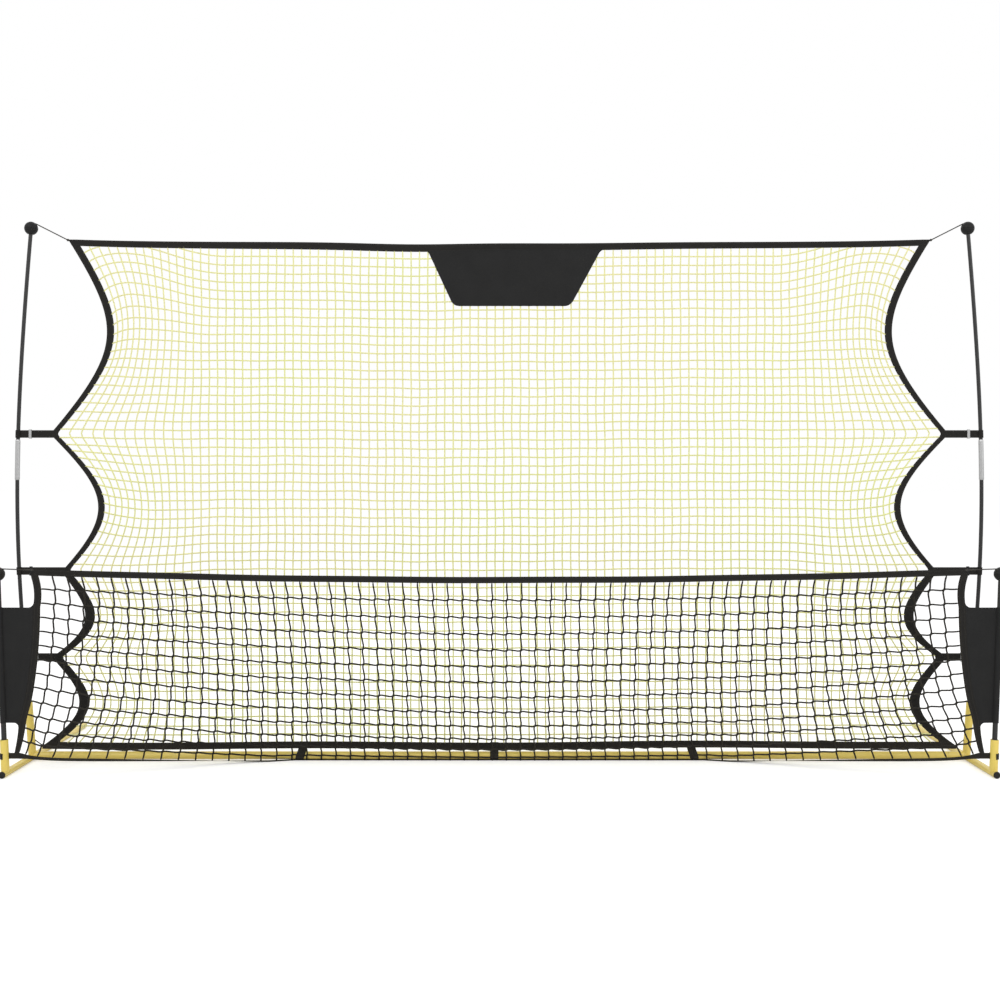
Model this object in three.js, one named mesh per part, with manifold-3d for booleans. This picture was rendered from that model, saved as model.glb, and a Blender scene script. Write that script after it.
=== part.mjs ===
// A free-standing ball rebounder: a tall pale net between two long bowed poles and a low black net in
// front of it between two short poles, all carried by a yellow steel tube base that packs down.
//
// Millimetres. +X is to the right and +Y to the back as seen from the side of the low net, +Z is up.
// The origin lies on the ground under the middle of the object.

import * as THREE from 'three';
import { mergeVertices } from 'three/addons/utils/BufferGeometryUtils.js';
import Module from 'manifold-3d';

const wasm = await Module();
wasm.setup();

// ---------------------------------------------------------------- driving dimensions, millimetres

// Fits
const clearance = 0.3; // between pieces that touch
const weldClearance = 0.3; // between a coped tube and the tube that it is welded to

// Base tubes
const baseSpan = 3660; // between the axes of the two side tubes
const baseDepth = 900; // front to back, over the end plugs
const sideTubeOuter = 26;
const crossbarOuter = 30;
const tubeWall = 1.5;
const plugHead = 3;
const plugInsert = 20;
const crossbarSetback = 300; // from the front of the base back to the crossbar's axis
const crossbarLift = 3.6; // free height under the crossbar, for the webbing
const stubReach = 74; // from a side tube's axis to the end of its crossbar stub
const middleBarLength = 1170;
const spigotLength = 60;
const spigotShoulder = 6; // wall between a tube's bore and the narrower bore of its spigot

// Snap buttons in the crossbar joints
const buttonDiameter = 7;
const buttonProud = 1.8; // how far a button stands out of the tube
const buttonSeat = 30; // from the mouth of the joint to the button's axis
const buttonLeafLength = 26;
const buttonLeafHeight = 9;
const buttonLeafThickness = 1;

// Pole sockets
const tallSocketOuter = 30;
const tallSocketTop = 226;
const tallSplay = 4.2; // degrees outwards
const lowSocketOuter = 30;
const lowSocketTop = 137;
const lowSocketSetback = 35; // from the front of the base
const lowSplay = 2.2; // degrees outwards
const bushDrop = 1; // from a socket's rim down to its bush

// Poles and caps
const tallPoleDiameter = 15;
const tallCapHeight = 2083; // centre of the cap
const tallCapOutset = 5.4; // centre of the cap outside the side tube's axis
const tallTipLean = 4.9; // degrees inwards
const bowReachBelow = 550; // how far the socket's direction holds up the pole
const bowReachAbove = 1050; // how far the tip's direction holds down the pole
const ferruleLow = 1097;
const ferruleHigh = 1255;
const ferruleWall = 1.3;
const ferruleFit = 0.5;
const lowPoleDiameter = 19;
const lowPoleWall = 2;
const lowCapHeight = 750;
const capDiameter = 52;
const capCut = 23; // from the cap's centre down to its flat
const capBoreTop = 16; // from the cap's centre up to the end of its bore

// Tall net
const webbingThickness = 2.4;
const tallTopHeight = 2039.5; // upper edge of the top border, at its ends
const tallTopSag = 18;
const tallTopWidth = 27;
const tallBottomHeight = 43; // lower edge of the bottom border
const tallBottomWidth = 28;
const tallTopInset = 140; // from a side tube's axis in to the net's top corner
const tieHeights = [1277, 740, 403]; // where the side border is tied to the pole
const tieInsets = [69, 115, 76]; // from a side tube's axis in to the net's edge there
const tallBottomInset = 22; // to where its curved edge would meet the bottom
const tallCornerInset = 39; // to where its bottom corner is cut off
const scallopDepths = [186, 164, 112, 134]; // from the top corner down
const scallopBends = [0.39, 0.53, 1.08, 0.7]; // the smaller, the tighter the bend at the deepest place
const scallopSkews = [1.02, 1.03, 1.17, 1.08]; // the greater, the lower the deepest place
const sideWidths = [ // of the side border, measured level, at heights from the top down
  [2039.5, 33],
  [1600, 28],
  [1277, 27],
  [760, 26],
  [700, 39],
  [43, 41],
];
const scallopSteps = 8;
const tallString = 3;
const tallColumns = 16;
const tallRows = 7;
const patchTop = [-281, 399]; // where its upper edge begins and ends
const patchBottom = [-180, 278];
const patchDepth = 214;
const patchCorner = 20;
const patchThickness = 1.6;

// How webbing is sewn together
const sewnLap = 6; // end over edge
const sewnDepth = 0.2; // face on face

// Ties from the tall net to its poles
const tieWidth = 30;
const tieThickness = 2.4;
const tieLoopFit = 0.5;
const sliderLength = 10;
const sliderHeight = 36;
const sliderDepth = 7;
const sliderOutsets = [8.7, 6, -18]; // outside the side tube's axis, for each tie
const cordDiameter = 4.5;
const cordSetback = 0.8; // from a net's corner to the end of its cord
const tallCordRise = 18.5; // from the cap's centre up to where the top cord is aimed
const tallCordInward = 17; // and inwards
const tallBottomCordHeight = 84; // where the bottom cord meets the socket

// Straps from the tall net to the crossbar
const barStrapWidth = 33;
const barStrapThickness = 1.2;
const barStrapPlaces = [-764, -20, 746]; // of its top
const barStrapLeans = [-0.28, 0, 0.28]; // sideways for each length down
const barStrapTop = 68;
const barStrapNeck = 42; // height below which the strap opens round the crossbar

// Low net
const lowTopHeight = 769; // upper edge of the top border, at its ends
const lowTopSag = 29;
const lowTopWidth = 24;
const lowTopInset = 100; // from a side tube's axis in to the border's end
const lowBottomHeight = 88; // upper edge of the bottom border, at its ends
const lowBottomWidth = 23;
const lowBottomThickness = 1;
const lowBottomFlat = 900; // half width where the bottom border comes to lie on the ground
const lowBottomTucked = 800; // half width where it lies wholly under the crossbar
const lowBottomFront = 13.5; // its front edge there, in front of the crossbar's axis
const lowBottomFall = 60; // the even part of its fall from the corner to the ground
const lowCornerSteepness = 14; // how close to the corner the rest of the fall is
const lowBottomTurned = 0.6; // share of the fall over which it turns from upright to flat
const lowSideWidth = 25;
const lowSideFoot = 17; // its width at the bottom
const lowWaistInset = 126; // from a side tube's axis in to the mesh, at the panel's top
const lowFlare = 76; // how much further out that is at the bottom border
const lowBulge = 5; // how far it is pulled out beside the panel's lower corner
const lowBulgeHeight = 215;
const lowBulgeReach = 50;
const lowScallop = 8; // how far the side border curves in above the panel
const lowString = 3;
const lowColumns = 24;
const panelBottom = 199;
const panelTop = 626.2;
const panelRows = 3;
const panelThickness = 1.6;
const sleeveFit = 0.6;
const cornerLoopThickness = 2;

// How round things are cut
const tubeSides = 16;
const borderSteps = 20;
const poleSides = 12;
const cordSides = 8;
const poleSteps = 14;
const capSegments = 16;
const capRings = 8;

// ---------------------------------------------------------------- finishes

const yellowPaint = new THREE.MeshStandardMaterial({ color: 0xc8b05a, roughness: 0.35, metalness: 0.3 });
const blackPlastic = new THREE.MeshStandardMaterial({ color: 0x1c1c1c, roughness: 0.5, metalness: 0 });
const blackRod = new THREE.MeshStandardMaterial({ color: 0x262626, roughness: 0.35, metalness: 0 });
const greyMetal = new THREE.MeshStandardMaterial({ color: 0xaaaaaa, roughness: 0.35, metalness: 0.9 });
const palePlastic = new THREE.MeshStandardMaterial({ color: 0x9b9b9b, roughness: 0.5, metalness: 0 });
const blackWebbing = new THREE.MeshStandardMaterial({ color: 0x2b2927, roughness: 0.85, metalness: 0 });
const blackCloth = new THREE.MeshStandardMaterial({ color: 0x2f2f2f, roughness: 0.9, metalness: 0 });
const paleString = new THREE.MeshStandardMaterial({ color: 0xe9dfa4, roughness: 0.8, metalness: 0 });
const blackString = new THREE.MeshStandardMaterial({ color: 0x2a2826, roughness: 0.8, metalness: 0 });
const greyCord = new THREE.MeshStandardMaterial({ color: 0x55534f, roughness: 0.8, metalness: 0 });

// ---------------------------------------------------------------- worked-out places

const { lerp, degToRad, clamp } = THREE.MathUtils;
const flatFactor = Math.cos(Math.PI / tubeSides); // how far a tube's flats lie out, as a share of its radius
const halfSpan = baseSpan / 2;
const frontY = -baseDepth / 2;
const barY = frontY + crossbarSetback;
const lowY = frontY + lowSocketSetback;
const sideRadius = sideTubeOuter / 2;
const sideAxis = sideRadius * flatFactor;
const barRadius = crossbarOuter / 2;
const barAxis = crossbarLift + barRadius * flatFactor;
const barBore = barRadius - tubeWall;
const spigotRadius = barBore - clearance;
const spigotBore = spigotRadius - tubeWall;
const stubEnd = halfSpan - stubReach;
const poleRadius = tallPoleDiameter / 2;
const lowPoleRadius = lowPoleDiameter / 2;
const capRadius = capDiameter / 2;
const tallTopHalf = halfSpan - tallTopInset;
const tallBottomHalf = halfSpan - tallBottomInset;
const tallCornerHalf = halfSpan - tallCornerInset;
const lowTopHalf = halfSpan - lowTopInset;
const lowWaist = halfSpan - lowWaistInset;

const xAxis = new THREE.Vector3(1, 0, 0);
const yAxis = new THREE.Vector3(0, 1, 0);
const zAxis = new THREE.Vector3(0, 0, 1);
const crosswise = new THREE.Matrix4().makeBasis(yAxis, zAxis, xAxis); // an outline in YZ, drawn out along X
const upright = new THREE.Matrix4().makeBasis(xAxis, zAxis, yAxis.clone().negate()); // in XZ, along -Y

// ---------------------------------------------------------------- shaping helpers

/** A copy with only positions and shared corners, ready to be a solid. */
function bare(geometry) {
  const copy = geometry.clone();
  copy.deleteAttribute('normal');
  copy.deleteAttribute('uv');
  return mergeVertices(copy);
}

function toSolid(geometry) {
  const plain = bare(geometry);
  return new wasm.Manifold(new wasm.Mesh({
    numProp: 3,
    vertProperties: plain.attributes.position.array,
    triVerts: new Uint32Array(plain.index.array),
  }));
}

function toGeometry(solid) {
  const mesh = solid.getMesh();
  const geometry = new THREE.BufferGeometry();
  geometry.setAttribute('position', new THREE.BufferAttribute(mesh.vertProperties, 3));
  geometry.setIndex(new THREE.BufferAttribute(mesh.triVerts, 1));
  return geometry;
}

function joined(...geometries) {
  return toGeometry(geometries.map(toSolid).reduce((whole, solid) => whole.add(solid)));
}

function cut(geometry, ...tools) {
  return toGeometry(tools.map(toSolid).reduce((whole, tool) => whole.subtract(tool), toSolid(geometry)));
}

/** The same piece for the left side. */
function mirrored(geometry) {
  const copy = bare(geometry);
  copy.scale(-1, 1, 1);
  const corners = copy.index.array;
  for (let i = 0; i < corners.length; i += 3) {
    [corners[i + 1], corners[i + 2]] = [corners[i + 2], corners[i + 1]];
  }
  return copy;
}

/** A regular outline with a flat facing down and its corners on the circle. */
function roundOutline(radius, sides) {
  return Array.from({ length: sides }, (_, i) => {
    const angle = ((i + 0.5) / sides) * 2 * Math.PI;
    return new THREE.Vector2(radius * Math.cos(angle), radius * Math.sin(angle));
  });
}

/** A round section; a bore has its flats, not its corners, on the circle, so what fits it stays clear. */
function roundSection(radius, bore, sides) {
  const section = new THREE.Shape(roundOutline(radius, sides));
  if (bore > 0) {
    section.holes.push(new THREE.Path(roundOutline(bore / Math.cos(Math.PI / sides), sides)));
  }
  return section;
}

/** A straight rod, or a tube where it has a bore, between two points. */
function rod(start, end, radius, bore = 0, sides = tubeSides) {
  const along = new THREE.Vector3().subVectors(end, start);
  const geometry = new THREE.ExtrudeGeometry(roundSection(radius, bore, sides), {
    depth: along.length(),
    bevelEnabled: false,
  });
  geometry.applyQuaternion(new THREE.Quaternion().setFromUnitVectors(zAxis, along.normalize()));
  geometry.translate(start.x, start.y, start.z);
  return geometry;
}

/** The same along a curve. */
function curvedRod(curve, radius, bore, steps) {
  return new THREE.ExtrudeGeometry(roundSection(radius, bore, poleSides), {
    steps,
    bevelEnabled: false,
    extrudePath: curve,
  });
}

/** An outline drawn out evenly to both sides of its plane, which the frame places. */
function slab(outline, thickness, frame = new THREE.Matrix4()) {
  const geometry = new THREE.ExtrudeGeometry(outline, { depth: thickness, bevelEnabled: false });
  geometry.translate(0, 0, -thickness / 2);
  geometry.applyMatrix4(frame);
  return geometry;
}

/** The outline of a strap of even thickness along a line of points. */
function strapOutline(points, thickness) {
  const sides = [-thickness / 2, thickness / 2].map((offset) => points.map((point, i) => {
    const ahead = points[Math.min(i + 1, points.length - 1)];
    const behind = points[Math.max(i - 1, 0)];
    const along = new THREE.Vector2().subVectors(ahead, behind).normalize();
    return new THREE.Vector2(point.x + along.y * offset, point.y - along.x * offset);
  }));
  return new THREE.Shape([...sides[1], ...sides[0].reverse()]);
}

/** Points on an arc, the angles in degrees. */
function arcPoints(centre, radius, from, to, steps) {
  return Array.from({ length: steps + 1 }, (_, i) => {
    const angle = degToRad(lerp(from, to, i / steps));
    return new THREE.Vector2(centre.x + radius * Math.cos(angle), centre.y + radius * Math.sin(angle));
  });
}

/**
 * A thin sheet with a front and a back, laid out on a lattice of lines. place(u, v, face) gives a corner,
 * with face 1 in front (towards -Y) and -1 behind; filled(column, row) says where there is material.
 */
function sheet(us, vs, place, filled = () => true) {
  const positions = us.flatMap((u) => vs.flatMap((v) => [
    ...place(u, v, -1).toArray(),
    ...place(u, v, 1).toArray(),
  ]));
  const corners = [];
  const corner = (i, j, face) => 2 * (i * vs.length + j) + face;
  const quad = (a, b, c, d) => corners.push(a, b, c, a, c, d);
  const solid = (i, j) => i >= 0 && j >= 0 && i < us.length - 1 && j < vs.length - 1 && filled(i, j);
  for (let i = 0; i < us.length - 1; i += 1) {
    for (let j = 0; j < vs.length - 1; j += 1) {
      if (solid(i, j)) {
        quad(corner(i, j, 1), corner(i + 1, j, 1), corner(i + 1, j + 1, 1), corner(i, j + 1, 1));
        quad(corner(i, j, 0), corner(i, j + 1, 0), corner(i + 1, j + 1, 0), corner(i + 1, j, 0));
        if (!solid(i - 1, j)) {
          quad(corner(i, j, 0), corner(i, j, 1), corner(i, j + 1, 1), corner(i, j + 1, 0));
        }
        if (!solid(i + 1, j)) {
          quad(corner(i + 1, j, 1), corner(i + 1, j, 0), corner(i + 1, j + 1, 0), corner(i + 1, j + 1, 1));
        }
        if (!solid(i, j - 1)) {
          quad(corner(i, j, 0), corner(i + 1, j, 0), corner(i + 1, j, 1), corner(i, j, 1));
        }
        if (!solid(i, j + 1)) {
          quad(corner(i, j + 1, 1), corner(i + 1, j + 1, 1), corner(i + 1, j + 1, 0), corner(i, j + 1, 0));
        }
      }
    }
  }
  const geometry = new THREE.BufferGeometry();
  geometry.setAttribute('position', new THREE.BufferAttribute(new Float32Array(positions), 3));
  geometry.setIndex(corners);
  return geometry;
}

/** Even steps from one value to another, both included. */
function steps(from, to, count) {
  return Array.from({ length: count + 1 }, (_, i) => lerp(from, to, i / count));
}

/** The two edges of each string in an evenly spaced set, from the first edge to the last. */
function stringEdges(from, to, cells, width) {
  return steps(from + width / 2, to - width / 2, cells).flatMap((middle) => [
    middle - width / 2,
    middle + width / 2,
  ]);
}

const object = new THREE.Group();

function add(name, geometry, material) {
  const mesh = new THREE.Mesh(geometry, material);
  mesh.name = name;
  object.add(mesh);
}

/** The piece on the right as modelled, and its mirror image on the left. */
function addPair(name, geometry, material) {
  add(`${name}_right`, geometry, material);
  add(`${name}_left`, mirrored(geometry), material);
}

// ---------------------------------------------------------------- axes of sockets and poles

/** A line that leans outwards from a side tube's axis. */
function leaningLine(y, splay) {
  const lean = degToRad(splay);
  const foot = new THREE.Vector3(halfSpan, y, sideAxis);
  const along = new THREE.Vector3(Math.sin(lean), 0, Math.cos(lean));
  return {
    along,
    atHeight: (height) => foot.clone().addScaledVector(along, (height - foot.z) / along.z),
  };
}

const tallLine = leaningLine(barY, tallSplay);
const lowLine = leaningLine(lowY, lowSplay);
const tubeTop = sideAxis + sideRadius;

function poleFootHeight(radius, line) {
  return tubeTop + weldClearance + radius * line.along.x;
}

const tipAngle = degToRad(tallTipLean);
const tallTipDirection = new THREE.Vector3(-Math.sin(tipAngle), 0, Math.cos(tipAngle));
const tallCapCentre = new THREE.Vector3(halfSpan + tallCapOutset, barY, tallCapHeight);
const tallPoleEnd = tallCapCentre.clone().addScaledVector(tallTipDirection, capBoreTop - clearance);

/** The tall pole's centre line: straight in its socket, one bow above it, straight into its cap. */
function tallCentreLine() {
  const foot = tallLine.atHeight(poleFootHeight(poleRadius, tallLine));
  const rim = tallLine.atHeight(tallSocketTop);
  const line = new THREE.CurvePath();
  line.add(new THREE.LineCurve3(foot, rim));
  line.add(new THREE.CubicBezierCurve3(
    rim,
    rim.clone().addScaledVector(tallLine.along, bowReachBelow),
    tallCapCentre.clone().addScaledVector(tallTipDirection, -bowReachAbove),
    tallCapCentre,
  ));
  line.add(new THREE.LineCurve3(tallCapCentre, tallPoleEnd));
  return line;
}

const tallCurve = tallCentreLine();

/** Where along the tall pole, from 0 to 1, its centre line reaches a height. */
function tallShare(height) {
  let below = 0;
  let above = 1;
  for (let i = 0; i < 40; i += 1) {
    const middle = (below + above) / 2;
    if (tallCurve.getPoint(middle).z < height) {
      below = middle;
    } else {
      above = middle;
    }
  }
  return below;
}

/** One length of the tall pole's centre line. */
class PoleStretch extends THREE.Curve {
  constructor(from, to) {
    super();
    this.from = from;
    this.to = to;
  }

  getPoint(t, target = new THREE.Vector3()) {
    return target.copy(tallCurve.getPoint(lerp(this.from, this.to, t)));
  }
}

/** A point on the tall pole and the pole's direction there. */
function tallPoleAt(height) {
  const share = tallShare(height);
  const step = 0.002;
  const ahead = tallCurve.getPoint(share + step);
  const along = ahead.sub(tallCurve.getPoint(share - step)).normalize();
  return { point: tallCurve.getPoint(share), along };
}

// ---------------------------------------------------------------- base

/** A tool that clears a tube's surface: a rod a little thicker than it. */
function clearing(start, end, radius) {
  return rod(start, end, (radius + weldClearance) / flatFactor);
}

function alongSideTube(y) {
  return new THREE.Vector3(halfSpan, y, sideAxis);
}

function sideTubeClearing() {
  return clearing(alongSideTube(frontY), alongSideTube(-frontY), sideRadius);
}

function addSideTubes() {
  const inset = plugHead + clearance;
  const ends = [alongSideTube(frontY + inset), alongSideTube(-frontY - inset)];
  addPair('side_tube', rod(ends[0], ends[1], sideRadius, sideRadius - tubeWall), yellowPaint);
}

/** A plug with a flush head and a shank in the tube's bore; the head faces forwards. */
function endPlug() {
  const shank = sideRadius - tubeWall - clearance;
  const profile = [
    [0, 0],
    [shank, 0],
    [shank, plugInsert],
    [sideRadius, plugInsert],
    [sideRadius, plugInsert + plugHead],
    [0, plugInsert + plugHead],
  ];
  const points = profile.map((p) => new THREE.Vector2(...p));
  const plug = new THREE.LatheGeometry(points, tubeSides, Math.PI / tubeSides);
  plug.translate(0, -frontY - plugInsert - plugHead, 0);
  return plug;
}

function addEndPlugs() {
  const rear = endPlug().translate(halfSpan, 0, sideAxis);
  const front = endPlug().rotateX(Math.PI).translate(halfSpan, 0, sideAxis);
  addPair('front_end_plug', front, blackPlastic);
  addPair('rear_end_plug', rear, blackPlastic);
}

function alongCrossbar(x) {
  return new THREE.Vector3(x, barY, barAxis);
}

function buttonHole(x) {
  const hole = buttonDiameter / 2 + clearance;
  const outside = barY + crossbarOuter;
  return rod(alongCrossbar(x), new THREE.Vector3(x, outside, barAxis), hole / flatFactor);
}

function tallSocketClearing() {
  return clearing(tallLine.atHeight(sideAxis), tallLine.atHeight(tallSocketTop), tallSocketOuter / 2);
}

function addCrossbarStubs() {
  const tube = rod(alongCrossbar(stubEnd + clearance), alongCrossbar(halfSpan), barRadius, barBore);
  const hole = buttonHole(stubEnd + buttonSeat);
  addPair('crossbar_stub', cut(tube, sideTubeClearing(), tallSocketClearing(), hole), yellowPaint);
}

/** A length of crossbar from one x to another, with a narrower spigot beyond its right end. */
function barWithSpigot(from, to) {
  const bore = (radius) => radius / flatFactor;
  const length = to - from;
  const profile = [
    [barRadius, 0],
    [barRadius, length],
    [spigotRadius, length],
    [spigotRadius, length + spigotLength],
    [bore(spigotBore), length + spigotLength],
    [bore(spigotBore), length - spigotShoulder],
    [bore(barBore), length - spigotShoulder * 2],
    [bore(barBore), 0],
    [barRadius, 0],
  ];
  const points = profile.map((p) => new THREE.Vector2(...p));
  const tube = new THREE.LatheGeometry(points, tubeSides, Math.PI / tubeSides);
  tube.rotateZ(-Math.PI / 2);
  tube.translate(from, barY, barAxis);
  return cut(tube, buttonHole(to + buttonSeat));
}

function addCrossbar() {
  const joint = middleBarLength / 2;
  const outerBar = cut(barWithSpigot(joint + clearance, stubEnd), buttonHole(joint + buttonSeat));
  const middleHalf = barWithSpigot(0, joint);
  addPair('crossbar', outerBar, yellowPaint);
  add('crossbar_middle', joined(middleHalf, mirrored(middleHalf)), yellowPaint);
}

/** A round button on the leaf of its spring; the leaf lies inside the spigot. */
function snapButton(x) {
  const inner = barY + spigotBore - buttonLeafThickness * 2;
  const tip = barY + barRadius + buttonProud;
  const at = (y) => new THREE.Vector3(x, y, barAxis);
  const leafSide = Math.sqrt(spigotBore ** 2 - (buttonLeafHeight / 2) ** 2) - buttonLeafThickness * 1.5;
  const leaf = new THREE.BoxGeometry(buttonLeafLength, buttonLeafThickness, buttonLeafHeight);
  leaf.translate(x, barY + leafSide, barAxis);
  return joined(rod(at(Math.min(inner, barY + leafSide)), at(tip), buttonDiameter / 2), leaf);
}

function addSnapButtons() {
  addPair('outer_snap_button', snapButton(stubEnd + buttonSeat), greyMetal);
  addPair('inner_snap_button', snapButton(middleBarLength / 2 + buttonSeat), greyMetal);
}

/** A socket on a side tube, open at the top, and the bush that fills it round the pole. */
function addSocket(name, line, outer, top, poleOuter) {
  const bore = outer / 2 - tubeWall;
  const foot = line.atHeight(sideAxis);
  const socket = cut(rod(foot, line.atHeight(top), outer / 2, bore), sideTubeClearing());
  addPair(`${name}_socket`, socket, yellowPaint);
  const rim = line.atHeight(top - bushDrop);
  const bush = rod(foot, rim, bore - clearance, poleOuter / 2 + clearance, poleSides);
  addPair(`${name}_socket_bush`, cut(bush, sideTubeClearing()), blackPlastic);
}

// ---------------------------------------------------------------- poles

function addTallPoles() {
  const meeting = (ferruleLow + ferruleHigh) / 2;
  const lower = new PoleStretch(0, tallShare(meeting));
  const upper = new PoleStretch(tallShare(meeting + clearance * 2), 1);
  const ferrule = new PoleStretch(tallShare(ferruleLow), tallShare(ferruleHigh));
  const ferruleBore = poleRadius + ferruleFit;
  addPair('tall_pole_lower', curvedRod(lower, poleRadius, 0, poleSteps), blackRod);
  addPair('tall_pole_upper', curvedRod(upper, poleRadius, 0, poleSteps), blackRod);
  addPair('tall_pole_ferrule', curvedRod(ferrule, ferruleBore + ferruleWall, ferruleBore, 2), greyMetal);
}

/** A ball with a flat underneath and a blind bore for the pole. */
function poleCap(centre, direction, poleOuter) {
  const bore = (poleOuter / 2 + clearance) / Math.cos(Math.PI / capSegments);
  const flat = Math.asin(capCut / capRadius);
  const arc = steps(Math.PI / 2, -flat, capRings).map((a) => new THREE.Vector2(
    a === Math.PI / 2 ? 0 : capRadius * Math.cos(a),
    capRadius * Math.sin(a),
  ));
  const inside = [[bore, -capCut], [bore, capBoreTop], [0, capBoreTop]].map((p) => new THREE.Vector2(...p));
  const cap = new THREE.LatheGeometry([...arc, ...inside].reverse(), capSegments);
  cap.applyQuaternion(new THREE.Quaternion().setFromUnitVectors(yAxis, direction));
  cap.translate(centre.x, centre.y, centre.z);
  return cap;
}

const lowCapCentre = lowLine.atHeight(lowCapHeight);

function addLowPoles() {
  const foot = lowLine.atHeight(poleFootHeight(lowPoleRadius, lowLine));
  const top = lowCapCentre.clone().addScaledVector(lowLine.along, capBoreTop - clearance);
  addPair('low_pole', rod(foot, top, lowPoleRadius, lowPoleRadius - lowPoleWall, poleSides), blackRod);
}

function addCaps() {
  addPair('tall_pole_cap', poleCap(tallCapCentre, tallTipDirection, tallPoleDiameter), blackPlastic);
  addPair('low_pole_cap', poleCap(lowCapCentre, lowLine.along, lowPoleDiameter), blackPlastic);
}

// ---------------------------------------------------------------- tall net

const edgeHeights = [tallTopHeight, ...tieHeights, tallBottomHeight];
const edgeHalves = [tallTopHalf, ...tieInsets.map((inset) => halfSpan - inset), tallBottomHalf];

/**
 * The net's outer edge, which curves in between each two tied points as a hyperbola does, less straight the
 * greater its bend. Gives x and its slope.
 */
function tallEdge(height) {
  const span = clamp(edgeHeights.findIndex((h) => h <= height) - 1, 0, scallopDepths.length - 1);
  const drop = edgeHeights[span] - edgeHeights[span + 1];
  const t = (edgeHeights[span] - height) / drop;
  const bend = scallopBends[span];
  const skew = scallopSkews[span];
  const place = 2 * t ** skew - 1;
  const reach = Math.sqrt(place ** 2 + bend);
  const scale = scallopDepths[span] / (Math.sqrt(1 + bend) - Math.sqrt(bend));
  const curveIn = scale * (Math.sqrt(1 + bend) - reach);
  const straight = edgeHalves[span + 1] - edgeHalves[span];
  const curving = (scale * place * 2 * skew * t ** (skew - 1)) / reach;
  return { x: edgeHalves[span] + straight * t - curveIn, slope: -(straight + curving) / drop };
}

/** The side border's outer edge, whose bottom corner is cut off. */
function tallOuter(height) {
  return Math.min(tallEdge(height).x, tallCornerHalf);
}

/** The side border's width, measured level. */
function sideWidth(height) {
  const below = clamp(sideWidths.findIndex(([level]) => level <= height), 1, sideWidths.length - 1);
  const [high, wide] = sideWidths[below - 1];
  const [low, narrow] = sideWidths[below];
  return lerp(wide, narrow, (high - height) / (high - low));
}

/** The side border's inner edge, moved further in by a margin that is measured square to it. */
function tallInset(height, margin) {
  const edge = tallEdge(height);
  return edge.x - sideWidth(height) - margin * Math.hypot(1, edge.slope);
}

const tallTopLower = tallTopHeight - tallTopWidth;
const tallBottomUpper = tallBottomHeight + tallBottomWidth;

/** How far a top border hangs down between two points this far from the middle. */
function sag(x, half, depth) {
  return depth * (1 - Math.min((x / half) ** 2, 1));
}

const tallSagHalf = tallInset(tallTopLower - clearance, 0);

function tallSag(x) {
  return sag(x, tallSagHalf, tallTopSag);
}

/** Heights at which the side borders and the mesh beside them are both cut. */
function sideHeights() {
  const inner = edgeHeights.slice(0, -1).flatMap((high, i) => {
    const heights = steps(high, edgeHeights[i + 1], scallopSteps);
    return heights.slice(0, -1);
  });
  const low = tallBottomUpper + clearance;
  const high = tallTopLower - clearance;
  return [high, ...inner.filter((h) => h < high - tallString && h > low + tallString), low];
}

function addTallBorders() {
  const half = webbingThickness / 2;
  const across = steps(-tallSagHalf, tallSagHalf, borderSteps);
  const top = sheet([-tallTopHalf, ...across, tallTopHalf], [0, 1], (x, v, face) => {
    const height = lerp(tallTopLower, tallTopHeight, v);
    const end = tallOuter(height);
    return new THREE.Vector3(clamp(x, -end, end), barY - face * half, height - tallSag(x));
  });
  const bottom = sheet([-1, 1], [0, 1], (u, v, face) => {
    const height = lerp(tallBottomHeight, tallBottomUpper, v);
    return new THREE.Vector3(u * tallOuter(height), barY - face * half, height);
  });
  const side = sheet([0, 1], sideHeights().reverse(), (u, height, face) => (
    new THREE.Vector3(lerp(tallInset(height, 0), tallOuter(height), u), barY - face * half, height)
  ));
  add('tall_net_top_border', top, blackWebbing);
  const straps = barStrapPlaces.map((x, i) => barStrap(x, barStrapLeans[i]));
  add('tall_net_bottom_border', joined(bottom, ...straps), blackWebbing);
  addPair('tall_net_side_border', tieHeights.reduce(withPoleTie, side), blackWebbing);
}

/** The outline of the mesh inside its borders, further in by a margin. */
function meshOutline(margin) {
  const heights = sideHeights();
  heights[0] -= margin;
  heights[heights.length - 1] += margin;
  const side = heights.map((height) => [tallInset(height, clearance + margin), height]);
  const across = steps(-side[0][0], side[0][0], borderSteps).map((x) => [x, side[0][1] - tallSag(x)]);
  const right = side.slice(1);
  const left = right.map(([x, height]) => [-x, height]).reverse();
  return new THREE.Shape([...across, ...right, ...left].map((p) => new THREE.Vector2(...p)).reverse());
}

/** A square mesh of straight strings inside a closed edge string that follows the borders. */
function addTallMesh() {
  const plane = upright.clone().setPosition(0, barY, 0);
  const whole = toSolid(slab(meshOutline(0), tallString, plane));
  const inside = toSolid(slab(meshOutline(tallString), tallString * 2, plane));
  const tall = tallTopHeight - tallBottomHeight;
  const middleHeight = tallBottomHeight + tall / 2;
  const uprights = steps(-tallTopHalf, tallTopHalf, tallColumns).map((x) => (
    new THREE.BoxGeometry(tallString, tallString, tall).translate(x, barY, middleHeight)
  ));
  const levels = steps(tallBottomUpper, tallTopLower - tallTopSag, tallRows).slice(1, -1).map((height) => (
    new THREE.BoxGeometry(tallBottomHalf * 2, tallString, tallString).translate(0, barY, height)
  ));
  const strings = [...uprights, ...levels].map(toSolid).reduce((all, string) => all.add(string));
  add('tall_net_mesh', toGeometry(whole.subtract(inside).add(strings.intersect(whole))), paleString);
}

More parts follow.
